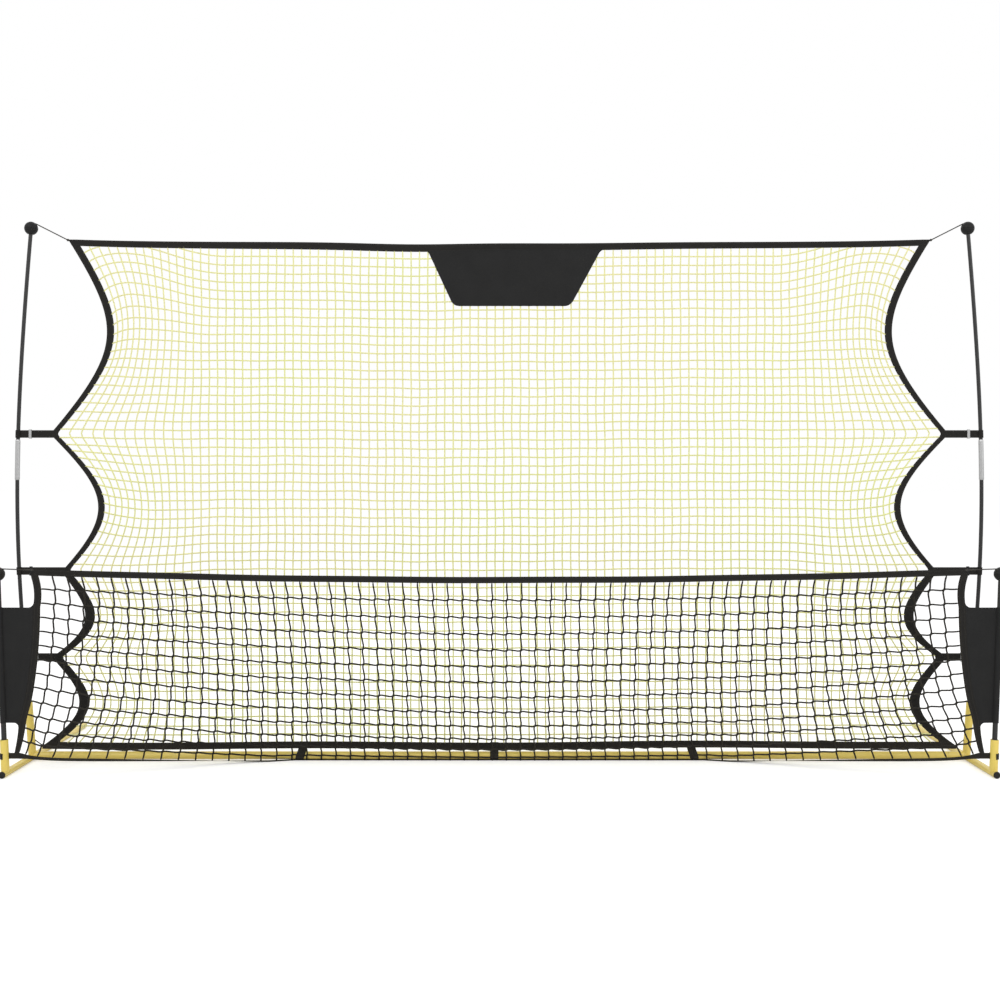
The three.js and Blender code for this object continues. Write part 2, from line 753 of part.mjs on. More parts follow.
/** The bare cloth patch that hangs from the top border in front of the mesh. */
function addPatch() {
  const top = tallTopLower - tallTopSag - clearance;
  const bottom = top - patchDepth;
  const rise = patchCorner / patchDepth;
  const [left, right] = patchBottom;
  const outline = new THREE.Shape();
  outline.moveTo(patchTop[0], top);
  outline.lineTo(lerp(left, patchTop[0], rise), bottom + patchCorner);
  outline.quadraticCurveTo(left, bottom, left + patchCorner, bottom);
  outline.lineTo(right - patchCorner, bottom);
  outline.quadraticCurveTo(right, bottom, lerp(right, patchTop[1], rise), bottom + patchCorner);
  outline.lineTo(patchTop[1], top);
  const front = barY - tallString / 2 - clearance - patchThickness / 2;
  add('tall_net_patch', slab(outline, patchThickness, upright.clone().setPosition(0, front, 0)), blackCloth);
}

/** A border with a strap sewn to its tied point, which ends in a loop round the pole. */
function withPoleTie(border, height) {
  const pole = tallPoleAt(height);
  const reach = tieWidth / 2 / pole.along.z;
  const at = (distance) => pole.point.clone().addScaledVector(pole.along, distance);
  const bore = poleRadius + tieLoopFit;
  const loop = rod(at(-reach), at(reach), bore + tieThickness, bore, poleSides);
  const heights = [height - tieWidth / 2, height, height + tieWidth / 2];
  const strap = sheet([0, 1], heights, (u, h, face) => new THREE.Vector3(
    lerp(tallEdge(h).x - sewnLap, pole.point.x - bore - tieThickness / 2, u),
    barY - (face * tieThickness) / 2,
    h,
  ));
  const hollow = bore / Math.cos(Math.PI / poleSides);
  return cut(joined(border, loop, strap), rod(at(-tieWidth), at(tieWidth), hollow, 0, poleSides));
}

/** A flat buckle that the strap runs through. */
function strapSlider(place, height) {
  const frame = new THREE.BoxGeometry(sliderLength, sliderDepth, sliderHeight);
  const slotDepth = tieThickness + clearance * 2;
  const slot = new THREE.BoxGeometry(sliderLength * 2, slotDepth, tieWidth + clearance * 2);
  return cut(frame, slot).translate(place, barY, height);
}

function addStrapSliders() {
  const names = ['upper', 'middle', 'lower'];
  const plastics = [palePlastic, blackPlastic, palePlastic];
  tieHeights.forEach((height, i) => {
    addPair(`${names[i]}_strap_slider`, strapSlider(halfSpan + sliderOutsets[i], height), plastics[i]);
  });
}

/** A thin cord from a point of a net to a pole piece, cut where it meets that piece. */
function tieCord(from, towards, piece) {
  const along = new THREE.Vector3().subVectors(towards, from).normalize();
  const start = from.clone().addScaledVector(along, cordSetback);
  return cut(rod(start, towards, cordDiameter / 2, 0, cordSides), piece);
}

function ballClearing(centre) {
  const ball = new THREE.SphereGeometry(capRadius + clearance * 2, capSegments * 2, capRings * 2);
  return ball.translate(centre.x, centre.y, centre.z);
}

function addTallCords() {
  const corner = new THREE.Vector3(tallTopHalf, barY, tallTopHeight);
  const onCap = tallCapCentre.clone().add(new THREE.Vector3(-tallCordInward, 0, tallCordRise));
  addPair('tall_top_cord', tieCord(corner, onCap, ballClearing(tallCapCentre)), greyCord);
  const lowCorner = new THREE.Vector3(tallCornerHalf, barY, tallBottomHeight);
  const cord = tieCord(lowCorner, tallLine.atHeight(tallBottomCordHeight), tallSocketClearing());
  addPair('tall_bottom_cord', cord, greyCord);
}

/**
 * A strap sewn to both faces of the tall net's bottom border, which holds it down to the crossbar; x is the
 * place of its top, from which it leans sideways.
 */
function barStrap(x, lean) {
  const centre = new THREE.Vector2(barY, barAxis);
  const beside = webbingThickness / 2 - sewnDepth + barStrapThickness / 2;
  const round = barRadius * flatFactor + clearance + barStrapThickness / 2;
  const corner = 180 / tubeSides; // degrees from a flat of the crossbar to its corner
  const line = [
    new THREE.Vector2(barY - beside, barStrapTop),
    new THREE.Vector2(barY - beside, barStrapNeck),
    ...arcPoints(centre, round / flatFactor, 180 - 3 * corner, 360 + 3 * corner, tubeSides / 2 + 3),
    new THREE.Vector2(barY + beside, barStrapNeck),
    new THREE.Vector2(barY + beside, barStrapTop),
  ];
  const strap = slab(strapOutline(line, barStrapThickness), barStrapWidth, crosswise);
  strap.applyMatrix4(new THREE.Matrix4().makeShear(0, 0, 0, 0, -lean, 0));
  return strap.translate(x + lean * barStrapTop, 0, 0);
}

// ---------------------------------------------------------------- low net

const lowMeshTop = lowTopHeight - lowTopWidth - clearance;
const lowMeshBottom = lowBottomHeight + clearance;

/** Half width of the low mesh at a height of its end: flared below the panel's top, scalloped above it. */
function lowHalf(height) {
  if (height > panelTop) {
    const t = (height - panelTop) / (lowMeshTop - panelTop);
    return lowWaist - lowScallop * 4 * t * (1 - t) + lowScallop * t;
  }
  const t = (panelTop - height) / (panelTop - lowMeshBottom);
  const bulge = lowBulge * Math.exp(-(((height - lowBulgeHeight) / lowBulgeReach) ** 2));
  return lowWaist + lowFlare * t * t + bulge;
}

/** The share of the way from the corner to a half width further in, from 0 to 1. */
function wayIn(x, end) {
  const corner = lowHalf(lowMeshBottom);
  return clamp((corner - Math.abs(x)) / (corner - end), 0, 1);
}

/**
 * The mesh's bottom edge, which runs from the plane of the low poles back and down to the crossbar, and
 * the direction in which the bottom border hangs from it: upright at the corners, flat at the crossbar.
 */
function lowBottomEdge(x) {
  const left = 1 - wayIn(x, lowBottomFlat);
  const turn = (Math.min((1 - left) / lowBottomTurned, 1) * Math.PI) / 2;
  const down = new THREE.Vector3(0, Math.sin(turn), -Math.cos(turn));
  const ground = lowBottomThickness / 2 + clearance;
  const cornerFall = lowMeshBottom - lowBottomWidth / 2 - ground - lowBottomFall;
  const middle = ground + lowBottomFall * left + cornerFall * left ** lowCornerSteepness;
  const y = lerp(lowY, barY - lowBottomFront, wayIn(x, lowBottomTucked));
  return { point: new THREE.Vector3(x, y, middle - (down.z * lowBottomWidth) / 2), down };
}

/** Levels of the level strings at the ends of the mesh, from the bottom up. */
function lowLevels() {
  const panel = steps(panelBottom, panelTop, panelRows);
  const half = lowString / 2;
  const between = panel.flatMap((level) => [level - half, level + half]);
  const bottomString = [lowMeshBottom, lowMeshBottom + lowString];
  const topString = [lowMeshTop - lowString, lowMeshTop];
  return [...bottomString, ...between, (panelTop + lowMeshTop) / 2, ...topString];
}

/** The side border's width: even beside the panel, less below it. */
function lowSideWidthAt(height) {
  const rise = clamp((height - lowMeshBottom) / (panelBottom - lowMeshBottom), 0, 1);
  return lerp(lowSideFoot, lowSideWidth, rise);
}

const lowSagHalf = lowHalf(lowMeshTop);

function lowSag(x) {
  return sag(x, lowSagHalf, lowTopSag);
}

const lowAcross = stringEdges(-1, 1, lowColumns, lowString / lowWaist);

function addLowMesh() {
  const levels = lowLevels();
  const last = levels.length - 2;
  const place = (u, level, face) => {
    const foot = lowBottomEdge(u * lowHalf(lowMeshBottom)).point;
    const v = (level - lowMeshBottom) / (lowMeshTop - lowMeshBottom);
    return new THREE.Vector3(
      u * lowHalf(level),
      lerp(foot.y, lowY, v) - (face * lowString) / 2,
      lerp(foot.z, lowMeshTop - lowSag(u * lowSagHalf), v),
    );
  };
  const levelString = (row) => row === 0 || row === last || (row % 2 === 0 && row < last - 1);
  const filled = (column, row) => column % 2 === 0 || levelString(row);
  add('low_net_mesh', sheet(lowAcross, levels, place, filled), blackString);
}

const cornerLoopInner = lowSocketOuter / 2 + clearance;
const cornerLoopCentre = lowLine.atHeight(lowBottomHeight - lowBottomWidth / 2);

/** The low net's bottom border with a loop at each end, round a low socket. */
function withCornerLoops(border) {
  const at = (distance) => cornerLoopCentre.clone().addScaledVector(lowLine.along, distance);
  const reach = lowBottomWidth / 2;
  const loop = rod(at(-reach), at(reach), cornerLoopInner + cornerLoopThickness, cornerLoopInner);
  const hollow = rod(at(-lowBottomWidth), at(lowBottomWidth), cornerLoopInner / flatFactor);
  return cut(joined(border, loop, mirrored(loop)), hollow, mirrored(hollow));
}

/** The bottom border turns from upright at the corners to flat under the crossbar. */
function addLowBorders() {
  const half = webbingThickness / 2;
  const across = lowAcross.map((u) => u * lowSagHalf);
  const top = sheet([-lowTopHalf, ...across, lowTopHalf], [0, 1], (x, v, face) => new THREE.Vector3(
    x,
    lowY - face * half,
    lerp(lowTopHeight - lowTopWidth, lowTopHeight, v) - lowSag(x),
  ));
  const side = sheet([0, 1], lowLevels(), (v, level, face) => new THREE.Vector3(
    lowHalf(level) + clearance + v * lowSideWidthAt(level),
    lowY - face * half,
    level,
  ));
  const corner = cornerLoopCentre.x - cornerLoopInner - sewnDepth;
  const inner = lowAcross.map((u) => u * lowHalf(lowMeshBottom));
  const bottom = sheet([-corner, ...inner, corner], [1, 0], (x, v, face) => {
    const { point, down } = lowBottomEdge(x);
    const gap = clearance + (down.y * lowString) / 2;
    const out = new THREE.Vector3(0, down.z, -down.y);
    point.addScaledVector(down, lerp(gap, lowBottomWidth, v));
    return point.addScaledVector(out, (face * lowBottomThickness) / 2);
  });
  add('low_net_top_border', top, blackWebbing);
  add('low_net_bottom_border', withCornerLoops(bottom), blackWebbing);
  addPair('low_net_side_border', side, blackWebbing);
}

/** The solid cloth between the side border and the low pole, with its sleeve round the pole. */
function addEndPanels() {
  const levels = lowLevels().slice(2, 2 + (panelRows + 1) * 2);
  const bore = lowPoleRadius + sleeveFit;
  const cloth = sheet([0, 1], levels, (u, level, face) => new THREE.Vector3(
    lerp(lowHalf(level) + clearance * 2 + lowSideWidth, lowLine.atHeight(level).x, u),
    lowY - (face * panelThickness) / 2,
    level,
  ));
  const low = lowLine.atHeight(levels[0]);
  const high = lowLine.atHeight(levels[levels.length - 1]);
  const sleeve = rod(low, high, bore + panelThickness, bore, poleSides);
  const hollow = rod(
    low.clone().addScaledVector(lowLine.along, -bore),
    high.clone().addScaledVector(lowLine.along, bore),
    bore / Math.cos(Math.PI / poleSides),
    0,
    poleSides,
  );
  addPair('low_end_panel', cut(joined(cloth, sleeve), hollow), blackCloth);
}

function addLowCords() {
  const corner = new THREE.Vector3(lowTopHalf, lowY, lowTopHeight);
  const onCap = new THREE.Vector3(lowCapCentre.x, lowY, lowTopHeight);
  const cord = tieCord(corner, onCap, ballClearing(lowCapCentre));
  addPair('low_top_cord', cord, greyCord);
}

// ---------------------------------------------------------------- the object

addSideTubes();
addEndPlugs();
addCrossbarStubs();
addCrossbar();
addSnapButtons();
addSocket('tall', tallLine, tallSocketOuter, tallSocketTop, tallPoleDiameter);
addSocket('low', lowLine, lowSocketOuter, lowSocketTop, lowPoleDiameter);
addTallPoles();
addLowPoles();
addCaps();
addTallMesh();
addTallBorders();
addPatch();
addStrapSliders();
addTallCords();
addLowMesh();
addLowBorders();
addEndPanels();
addLowCords();

export default object;
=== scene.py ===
"""Looks of a free-standing ball rebounder with a tall pale net and a low black net on a yellow tube base.

Every length is in metres. +X is to the right and +Y to the back as seen from the low net's side, and the
origin lies on the ground under the middle of the object.
"""

import logging  # noqa: E402
import math  # noqa: E402
from dataclasses import dataclass, field  # noqa: E402
from enum import Enum  # noqa: E402
from typing import Sequence  # noqa: E402

import bmesh  # noqa: E402
import bpy  # noqa: E402
import numpy as np  # noqa: E402
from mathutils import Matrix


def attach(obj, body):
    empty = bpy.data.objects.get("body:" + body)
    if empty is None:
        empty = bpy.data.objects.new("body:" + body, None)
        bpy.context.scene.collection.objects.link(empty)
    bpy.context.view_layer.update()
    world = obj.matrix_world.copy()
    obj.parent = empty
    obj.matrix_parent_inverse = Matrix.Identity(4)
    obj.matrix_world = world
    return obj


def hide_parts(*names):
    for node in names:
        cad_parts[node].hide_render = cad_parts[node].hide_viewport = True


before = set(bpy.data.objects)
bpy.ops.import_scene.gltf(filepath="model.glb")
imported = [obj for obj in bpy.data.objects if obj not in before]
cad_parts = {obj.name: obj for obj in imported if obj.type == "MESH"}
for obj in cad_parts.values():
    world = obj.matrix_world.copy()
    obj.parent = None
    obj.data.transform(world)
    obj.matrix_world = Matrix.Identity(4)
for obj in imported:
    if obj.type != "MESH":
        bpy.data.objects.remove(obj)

Array = np.ndarray
Link = bpy.types.NodeSocket
log = logging.getLogger("rebounder")
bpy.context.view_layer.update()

ROOT = "frame"

# A whole turn in radians, and the unit vectors of the axes.
CIRCLE = 2 * math.pi
RIGHT, BACK, UP = np.eye(3)

# The radii of the strings and cords, for their shapes and for the lay of their strands.
PALE_STRING = 0.0028
BLACK_STRING = 0.0032
CORD_RADIUS = 0.00215

# The angle in degrees past which an edge stays sharp, on most pieces and on those with few corners round.
PLAIN_EDGE = 40.0
SOFT_EDGE = 80.0

# Points closer than this are one point.
WELD_REACH = 2e-6


class Slot(Enum):
    """The record's material slots."""

    PAINT = "frame_paint"
    PLASTIC = "plastic_black"
    ROD = "rod_black"
    FERRULE = "ferrule_metal"
    BUTTON = "button_steel"
    SLIDER = "slider_plastic"
    WEBBING = "webbing_black"
    CLOTH = "cloth_black"
    PALE_NET = "net_pale"
    BLACK_NET = "net_black"
    CORD = "cord_grey"


# ---- meshes from arrays


@dataclass
class Shell:
    """A mesh put together from grids and end caps, with a UV map of lengths in metres."""

    points: list[Array] = field(default_factory=list)
    loops: list[Array] = field(default_factory=list)
    totals: list[Array] = field(default_factory=list)
    maps: list[Array] = field(default_factory=list)
    count: int = 0

    def grid(
        self,
        points: Array,
        along: Array,
        across: Array,
        ring_rows: bool = False,
        ring_columns: bool = False,
    ) -> "Shell":
        """Adds surfaces whose normal is the column direction crossed with the row direction.

        Args:
            points: Sheets by rows by columns by 3, or rows by columns by 3 for one sheet.
            along: The rows' UV lengths, one more than the rows where they close in a ring.
            across: The columns' UV lengths, one more than the columns where they close in a ring.
            ring_rows: Whether the last row joins the first.
            ring_columns: Whether the last column joins the first.

        Returns:
            The shell itself.
        """
        sheets = points.reshape((-1, *points.shape[-3:]))
        number, rows, columns = sheets.shape[:3]
        i = np.arange(rows if ring_rows else rows - 1)
        j = np.arange(columns if ring_columns else columns - 1)
        i, j = (a.ravel() for a in np.meshgrid(i, j, indexing="ij"))
        near, far = (i, (i + 1) % rows), (j, (j + 1) % columns)
        corners = ((0, 0), (0, 1), (1, 1), (1, 0))
        quads = np.stack([near[a] * columns + far[b] for a, b in corners], axis=1)
        uv = np.stack([np.stack([along[i + a], across[j + b]], axis=1) for a, b in corners], axis=1)
        starts = self.count + np.arange(number) * rows * columns
        self._keep(sheets.reshape(-1, 3), (starts[:, None, None] + quads).reshape(-1, 4), np.tile(uv, (number, 1, 1)))
        return self

    def _keep(self, points: Array, faces: Array, uv: Array) -> None:
        """Stores new points and the faces on them, all of one number of corners.

        Args:
            points: Points by 3.
            faces: Faces by corners, as numbers of points.
            uv: Faces by corners by 2.
        """
        self.points.append(points)
        self.loops.append(faces.ravel())
        self.totals.append(np.full(len(faces), faces.shape[1]))
        self.maps.append(uv.reshape(-1, 2))
        self.count += len(points)

    def cap(self, rings: Array, backwards: bool) -> "Shell":
        """Closes one open end of each ring of points with a flat face.

        Args:
            rings: Rings by corners by 3, in the order of the columns of the grid they close.
            backwards: True at the first row, False at the last.

        Returns:
            The shell itself.
        """
        rings = rings.reshape((-1, *rings.shape[-2:]))
        number, corners = rings.shape[:2]
        faces = self.count + np.arange(number * corners).reshape(number, corners)
        faces = faces[:, ::-1] if backwards else faces
        self._keep(rings.reshape(-1, 3), faces, np.zeros((number, corners, 2)))
        return self

    def carried(self, rings: Array, along: Array, across: Array, loop: bool = False) -> "Shell":
        """Adds tubes: closed rings of points that follow a path, with both ends capped unless it is a loop.

        Args:
            rings: Tubes by places by corners by 3, or without the first for one tube.
            along: The UV lengths along it.
            across: The UV lengths round it.
            loop: Whether the path closes.

        Returns:
            The shell itself.
        """
        self.grid(rings, along, across, ring_rows=loop, ring_columns=True)
        if not loop:
            self.cap(rings[..., 0, :, :], backwards=True)
            self.cap(rings[..., -1, :, :], backwards=False)
        return self

    def made(self, name: str, sharp: float = PLAIN_EDGE) -> bpy.types.Object:
        """Turns the shell into an object.

        Args:
            name: The object's name.
            sharp: The angle in degrees past which an edge isn't shaded smooth.

        Returns:
            The object, in the scene.
        """
        mesh = bpy.data.meshes.new(name)
        points = np.concatenate(self.points).astype(np.float32)
        loops = np.concatenate(self.loops).astype(np.int32)
        totals = np.concatenate(self.totals).astype(np.int32)
        mesh.vertices.add(len(points))
        mesh.vertices.foreach_set("co", points.ravel())
        mesh.loops.add(len(loops))
        mesh.loops.foreach_set("vertex_index", loops)
        mesh.polygons.add(len(totals))
        mesh.polygons.foreach_set("loop_start", (np.cumsum(totals) - totals).astype(np.int32))
        mesh.update(calc_edges=True)
        layer = mesh.uv_layers.new(name="lengths")
        layer.uv.foreach_set("vector", np.concatenate(self.maps).astype(np.float32).ravel())
        merged = weld_close(mesh)
        mesh.shade_smooth()
        mesh.set_sharp_from_angle(angle=math.radians(sharp))
        mesh.validate()
        made = bpy.data.objects.new(name, mesh)
        bpy.context.scene.collection.objects.link(made)
        log.debug("%s: %d points, %d merged", name, len(points), merged)
        return made


def weld_close(mesh: bpy.types.Mesh) -> int:
    """Merges points that lie in one place, such as those of a cap and its tube.

    Args:
        mesh: The mesh, which is changed.

    Returns:
        How many points went.
    """
    work = bmesh.new()
    work.from_mesh(mesh)
    before = len(work.verts)
    bmesh.ops.remove_doubles(work, verts=work.verts, dist=WELD_REACH)
    work.to_mesh(mesh)
    after = len(work.verts)
    work.free()
    return before - after


def unit(vectors: Array) -> Array:
    """The vectors at length one."""
    return vectors / np.maximum(np.linalg.norm(vectors, axis=-1, keepdims=True), 1e-12)


def points_at(x: Array, y: Array | float, z: Array | float) -> Array:
    """Points from their coordinates, spread over one another where one of them has fewer values."""
    return np.stack(np.broadcast_arrays(x, y, z), axis=-1)


def lengths(path: Array, loop: bool = False) -> Array:
    """The distance along a path at each of its points, and once round at the end of a loop."""
    ring = np.concatenate([path, path[:1]]) if loop else path
    return np.concatenate([[0.0], np.cumsum(np.linalg.norm(np.diff(ring, axis=0), axis=1))])


def directions(paths: Array, loop: bool = False) -> Array:
    """The unit direction of each path at each of its points: the difference of its neighbours.

    Args:
        paths: Paths by points by 3, or points by 3.
        loop: Whether each path closes.

    Returns:
        The directions, in the paths' shape.
    """
    if loop:
        return unit(np.roll(paths, -1, axis=-2) - np.roll(paths, 1, axis=-2))
    return unit(np.gradient(paths, axis=-2))


def rings_on(paths: Array, section: Array, side: Array, loop: bool = False) -> Array:
    """Carries a section along paths: point = path + a * side + b * up, where up = direction x side.

    Args:
        paths: Paths by points by 3, or points by 3.
        section: Corners by 2, counter-clockwise, or points by corners by 2 where it changes on the way.
        side: The section's first axis, one vector or one for each point; it is squared to the path.
        loop: Whether each path closes.

    Returns:
        The paths' shape with an axis of corners before the last.
    """
    along = directions(paths, loop)
    across = np.broadcast_to(side, paths.shape)
    across = unit(across - along * np.sum(across * along, axis=-1, keepdims=True))
    up = np.cross(along, across)
    a, b = section[..., 0, None], section[..., 1, None]
    return paths[..., None, :] + across[..., None, :] * a + up[..., None, :] * b


def smooth(value: Array) -> Array:
    """Eases a value from 0 to 1: 3 * v^2 - 2 * v^3, and flat outside."""
    held = np.clip(value, 0.0, 1.0)
    return held**2 * (3 - 2 * held)


def round_section(radius: float, corners: int) -> Array:
    """Points evenly round a circle, counter-clockwise."""
    angle = np.arange(corners) / corners * CIRCLE
    return radius * np.stack([np.cos(angle), np.sin(angle)], axis=1)


def strap_section(width: float, thickness: float, bend: int = 4, flats: int = 4) -> Array:
    """A flat section with half-round edges: two straight faces and an arc of points at either edge.

    Args:
        width: Its width over all.
        thickness: Its thickness.
        bend: How many points either edge has.
        flats: How many points either face has.

    Returns:
        Corners by 2, counter-clockwise.
    """
    half, reach = thickness / 2, width / 2 - thickness / 2
    arc = np.linspace(-math.pi / 2, math.pi / 2, bend)
    edge = np.stack([reach + half * np.cos(arc), half * np.sin(arc)], axis=1)
    top = np.stack([np.linspace(reach, -reach, flats + 2)[1:-1], np.full(flats, half)], axis=1)
    one = np.concatenate([edge, top])
    return np.concatenate([one, -one])


def closed_across(section: Array) -> Array:
    """The UV length of each corner of a strap's section: its place over the width."""
    return np.append(section[:, 0], section[0, 0])


def string_sections(radius: float, corners: int, places: Array, easing: float) -> Array:
    """Round sections for a string that grows thinner where its ends go into a border.

    Args:
        radius: The string's radius.
        corners: How many corners each section has.
        places: The places of the sections along the string, counted in cells.
        easing: Over how many cells at either end it grows from a third to its full thickness.

    Returns:
        Places by corners by 2.
    """
    left = np.minimum(places - places[0], places[-1] - places)
    share = np.interp(left, (0.0, easing), (1 / 3, 1.0))
    return round_section(radius, corners)[None] * share[:, None, None]


def round_across(radius: float, corners: int) -> Array:
    """The UV length round a circle."""
    return np.arange(corners + 1) / corners * CIRCLE * radius


def rod_object(name: str, path: Array, radius: float, corners: int = 32) -> bpy.types.Object:
    """A round bar along a path."""
    rings = rings_on(path, round_section(radius, corners), BACK)
    return Shell().carried(rings, lengths(path), round_across(radius, corners)).made(name)


def strap_object(
    name: str, path: Array, width: float, thickness: float, side: Array, loop: bool = False
) -> bpy.types.Object:
    """A flat strap along a path.

    Args:
        name: The object's name.
        path: Points by 3.
        width: The strap's width.
        thickness: Its thickness.
        side: The vector, or one for each point, along which its width lies.
        loop: Whether the path closes.

    Returns:
        The object.
    """
    section = strap_section(width, thickness)
    rings = rings_on(path, section, side, loop)
    return Shell().carried(rings, lengths(path, loop), closed_across(section), loop).made(name)


def turned(
    shell: Shell, start: Array, axis: Array, profile: Array, corners: int = 48, ring: bool = False
) -> Shell:
    """Turns a profile of (height, radius) rows about an axis.

    Args:
        shell: The mesh it is added to.
        start: The point of the axis at height 0.
        axis: The axis' unit direction.
        profile: Rows of height and radius, the outside upwards; a ring comes back down inside.
        corners: How many points lie round it.
        ring: Whether the profile closes, as a tube's does; otherwise both its ends get a flat cap.

    Returns:
        The shell.
    """
    axis = unit(np.asarray(axis, float))
    helper = RIGHT if abs(axis[0]) < 0.7 else BACK
    first = unit(helper - axis * (helper @ axis))
    second = np.cross(axis, first)
    angle = np.arange(corners) / corners * CIRCLE
    spoke = np.cos(angle)[:, None] * first + np.sin(angle)[:, None] * second
    rings = start + profile[:, 0, None, None] * axis + profile[:, 1, None, None] * spoke
    flat = np.column_stack([profile, np.zeros(len(profile))])
    return shell.carried(rings, lengths(flat, ring), round_across(float(profile[:, 1].max()), corners), ring)


def tube_profile(length: float, radius: float, bore: float, ease: float = 0.0004) -> Array:
    """The profile of a plain tube with eased rims: up the outside, in, and down the bore.

    Args:
        length: The tube's length.
        radius: Its outer radius.
        bore: Its inner radius.
        ease: How much is taken off each corner.

    Returns:
        Rows of height and radius.
    """
    return np.array(
        [
            [ease, radius],
            [length - ease, radius],
            [length, radius - ease],
            [length, bore + ease],
            [length - ease, bore],
            [ease, bore],
            [0.0, bore + ease],
            [0.0, radius - ease],
        ]
    )


def eased_rim(height: float, radius: float, ease: float) -> Array:
    """The end of a profile: a quarter round from the full radius in and up to the height."""
    turn = np.linspace(0.0, math.pi / 2, 7)
    return np.stack([height - ease + ease * np.sin(turn), radius - ease + ease * np.cos(turn)], axis=1)


def panel_object(name: str, front: Array, thickness: float, lift: Array) -> bpy.types.Object:
    """A thin sheet with a rim: a front grid, the same grid moved back, and quads round the edge.

    Args:
        name: The object's name.
        front: Rows by columns by 3, the rows going up and the columns to the right as seen from the front.
        thickness: How far apart the faces are.
        lift: The unit vector from the back face to the front one.

    Returns:
        The object.
    """
    across, up = lengths(front[0]), lengths(front[:, 0])
    near, far = front + lift * thickness / 2, front - lift * thickness / 2
    shell = Shell().grid(near, up, across).grid(far[:, ::-1], up, across[::-1])
    rim = np.stack([np.concatenate([s[0], s[1:, -1], s[-1, -2::-1], s[-2:0:-1, 0]]) for s in (far, near)])
    shell.grid(rim, np.array([0.0, thickness]), np.zeros(rim.shape[1] + 1), ring_columns=True)
    return shell.made(name)


# ---- shader building


def linear(red: int, green: int, blue: int) -> tuple[float, float, float, float]:
    """A colour given as it is seen, 0 to 255, in the linear values that a shader takes."""
    values = [v / 255 for v in (red, green, blue)]
    return (*[v / 12.92 if v <= 0.04045 else ((v + 0.055) / 1.055) ** 2.4 for v in values], 1.0)


class Graph:
    """Adds and joins the nodes of one tree."""

    def __init__(self, tree: bpy.types.NodeTree) -> None:
        """Keeps the tree."""
        self.tree = tree

    def feed(self, socket: Link, value: object) -> None:
        """Links a socket to another, or sets its value.

        Args:
            socket: The input socket.
            value: An output socket, or a plain value.
        """
        if isinstance(value, bpy.types.NodeSocket):
            self.tree.links.new(value, socket)
        else:
            socket.default_value = value

    def add(self, kind: str, inputs: dict[str, object] | None = None, **settings: object) -> bpy.types.Node:
        """Adds a node.

        Args:
            kind: Its type.
            inputs: Sockets or values for its inputs, by name.
            settings: Its properties.

        Returns:
            The node.
        """
        node = self.tree.nodes.new(kind)
        for name, value in settings.items():
            setattr(node, name, value)
        for name, value in (inputs or {}).items():
            self.feed(node.inputs[name], value)
        return node

    def math(self, operation: str, a: object, b: object = 0.0, clamp: bool = False) -> Link:
        """Adds a Math node.

        Args:
            operation: What it does.
            a: Its first socket or value.
            b: Its second one.
            clamp: Whether the result is held between 0 and 1.

        Returns:
            Its output.
        """
        node = self.add("ShaderNodeMath", operation=operation, use_clamp=clamp)
        self.feed(node.inputs[0], a)
        self.feed(node.inputs[1], b)
        return node.outputs[0]

    def wave(self, turns: Link) -> Link:
        """A smooth wave from 0 to 1 that repeats at each whole turn."""
        sine = self.math("SINE", self.math("MULTIPLY", turns, CIRCLE))
        return self.math("ADD", self.math("MULTIPLY", sine, 0.5), 0.5)

    def mix(self, share: object, a: object, b: object) -> Link:
        """Mixes two colours.

        Args:
            share: The second one's share, 0 to 1.
            a: The first colour.
            b: The second colour.

        Returns:
            The mixed colour.
        """
        node = self.add("ShaderNodeMix", data_type="RGBA")
        self.feed(node.inputs[0], share)
        self.feed(node.inputs[6], a)
        self.feed(node.inputs[7], b)
        return node.outputs[2]

    def spread(self, value: Link, low: float, high: float) -> Link:
        """A value from 0 to 1 spread over a range."""
        node = self.add("ShaderNodeMapRange", {"Value": value, "To Min": low, "To Max": high})
        return node.outputs[0]

    def noise(self, scale: object, vector: Link, detail: float = 3.0) -> Link:
        """A Noise texture's value."""
        return self.add("ShaderNodeTexNoise", {"Scale": scale, "Detail": detail, "Vector": vector}).outputs["Fac"]


def new_group(
    name: str, inputs: dict[str, float], outputs: Sequence[str], coordinates: str
) -> tuple[Graph, Sequence[Link], Sequence[Link], Link]:
    """Starts a shader node group.

    Args:
        name: The group's name.
        inputs: The inputs' names and defaults, all single values.
        outputs: The outputs' names, all single values.
        coordinates: Which texture coordinates it reads.

    Returns:
        The graph of its tree, the sockets of its inputs and of its outputs, and the coordinates' socket.
    """
    tree = bpy.data.node_groups.new(name, "ShaderNodeTree")
    for label, default in inputs.items():
        socket = tree.interface.new_socket(name=label, in_out="INPUT", socket_type="NodeSocketFloat")
        socket.default_value = default
    for label in outputs:
        tree.interface.new_socket(name=label, in_out="OUTPUT", socket_type="NodeSocketFloat")
    graph = Graph(tree)
    start, end = graph.add("NodeGroupInput"), graph.add("NodeGroupOutput")
    place = graph.add("ShaderNodeTexCoord").outputs[coordinates]
    return graph, [start.outputs[label] for label in inputs], [end.inputs[label] for label in outputs], place


